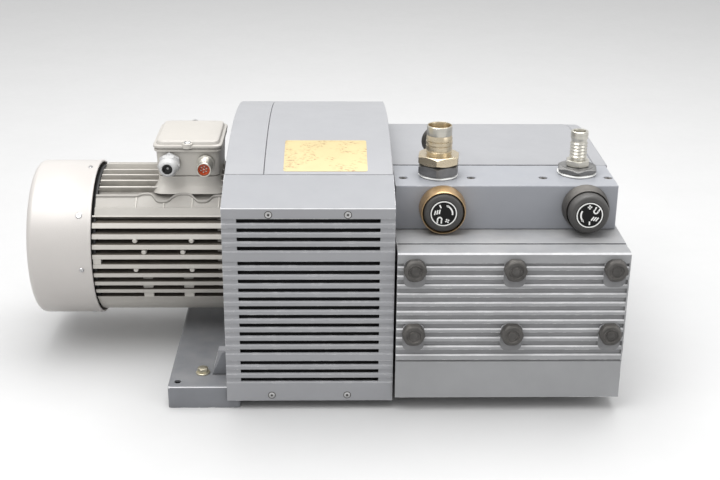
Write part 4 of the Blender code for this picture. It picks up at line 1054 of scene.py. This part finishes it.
def build_base():
    def tray(inset):
        left, foot, right = -0.2301 + inset, -0.135 - inset, 0.33 - inset
        step_x, step_y = 0.06 - inset, -0.1 + inset
        wide, narrow = 0.2387 - inset, 0.19 - inset
        return [(left, -wide), (foot, -wide), (foot, -narrow), (step_x, -narrow), (step_x, step_y),
                (right, step_y), (right, narrow), (foot, narrow), (foot, wide), (left, wide)]

    radii = {0: 0.005, 1: 0.004, 5: 0.005, 6: 0.005, 8: 0.004, 9: 0.005}
    rings = []
    for inset, z in ((0.003, 0.0279), (0.003, 0), (0, 0), (0, 0.0282), (0.0003, 0.0294),
                     (0.0011, 0.0303), (0.0024, 0.0308), (0.004, 0.0309)):
        rings.append([(x, y, z) for x, y in rounded_outline(tray(inset), radii)])
    base = piece("base_pan", loft(rings), "base_paint", stands_for="base_plate")
    holes = [(-0.218, side * 0.224, 0) for side in (-1, 1)]
    cuts = [drum("Z", place, 0.01, 0.05, 0.0047, 32) for place in holes]
    cuts += [drum("Z", (-0.187, side * 0.199, 0), 0.01, 0.05, 0.005, 32) for side in (-1, 1)]
    combine(base, merged(cuts))
    # the base's front top edge gets the lighter edge paint: a painted highlight, with wear
    repaint(base, "edge_highlight_and_wear", lambda at, out: at.z > 0.027 and 0.3 < out.z < 0.9 and out.y < -0.2)
    # black discs under the holes that keep them dark: painted shade
    shade_discs = [drum("Z", place, 0.0235, 0.0265, 0.0075, 24) for place in holes]
    piece("base_hole_shade_discs", merged(shade_discs), "fan_plastic")
    centre = (-0.187, -0.199, 0)
    bolt = merged([
        lathe([(0.013, 0), (0.013, 0.0046), (0.031, 0.0046), (0.0311, 0.0094), (0.0326, 0.0094),
               (0.0331, 0.0088), (0.0331, 0)], "Z", centre, 40),
        hex_body(0.013, "Z", centre, 0.0332, 0.0386, radians(12), ends=(False, True)),
    ])
    piece("base_hex_bolt", bolt, "zinc", stands_for="base_bolt", smooth=30)


# ---- studio

FLOOR_REACH = 12

def build_stage():
    floor = bmesh.new()
    bmesh.ops.create_grid(floor, x_segments=1, y_segments=1, size=FLOOR_REACH)
    mesh = bpy.data.meshes.new("floor")
    floor.to_mesh(mesh)
    floor.free()
    obj = add_object("floor", mesh)
    mesh.materials.append(finish("floor_pale", (0.52, 0.52, 0.52), 0.6, mottle=0.01, grain=0.02))
    obj.location.z = -0.0002

    world = bpy.data.worlds.new("studio")
    world.use_nodes = True
    sky = world.node_tree.nodes["Background"].inputs
    sky["Color"].default_value = (1.0, 1.0, 1.0, 1)
    sky["Strength"].default_value = 0.85
    scene.world = world
    for name, place, aim, power, size in (
        ("key", (-0.9, -1.0, 2.3), (0, 0, 0.15), 34, 1.6),
        ("top", (0.2, 0.4, 2.4), (0, 0, 0.2), 56, 2.0),
        ("fill", (1.9, -1.3, 1.2), (0, 0, 0.15), 10, 1.4),
    ):
        light = bpy.data.lights.new(name, "AREA")
        light.energy, light.size = power, size
        obj = add_object(name, light)
        obj.location = place
        obj.rotation_euler = (Vector(aim) - Vector(place)).to_track_quat("-Z", "Y").to_euler()


def build_camera():
    """A viewpoint 1.85 m away, looking down at the machine's front."""
    camera = bpy.data.cameras.new("camera")
    camera.sensor_width = 36.0
    camera.lens = 61.365
    obj = scene.camera = add_object("camera", camera)
    pitch, yaw, roll = (radians(a) for a in (21.7289, 1.4002, -0.5015))
    ahead = Vector((sin(yaw) * cos(pitch), cos(yaw) * cos(pitch), -sin(pitch)))
    right = Vector((cos(yaw), -sin(yaw), 0))
    down = ahead.cross(right)
    side = right * cos(roll) + down * sin(roll)
    up = -(-right * sin(roll) + down * cos(roll))
    rotation = Matrix((side, up, -ahead)).transposed()
    place = Vector((-0.0139, -1.6662, 0.8073)) + HERE
    obj.matrix_world = Matrix.Translation(place) @ rotation.to_4x4()


build_camera()
build_motor_frame()
build_cowl()
build_terminal_box()
build_grille("front_panel", -1, "front_grille")
build_grille("rear_panel", 1, "rear_grille")
build_hood()
build_foot_bracket()
build_cover()
build_filter_housing()
build_sound_hood()
build_lifting_eye()
build_manifold()
build_nozzles()
build_knobs()
build_base()
build_stage()
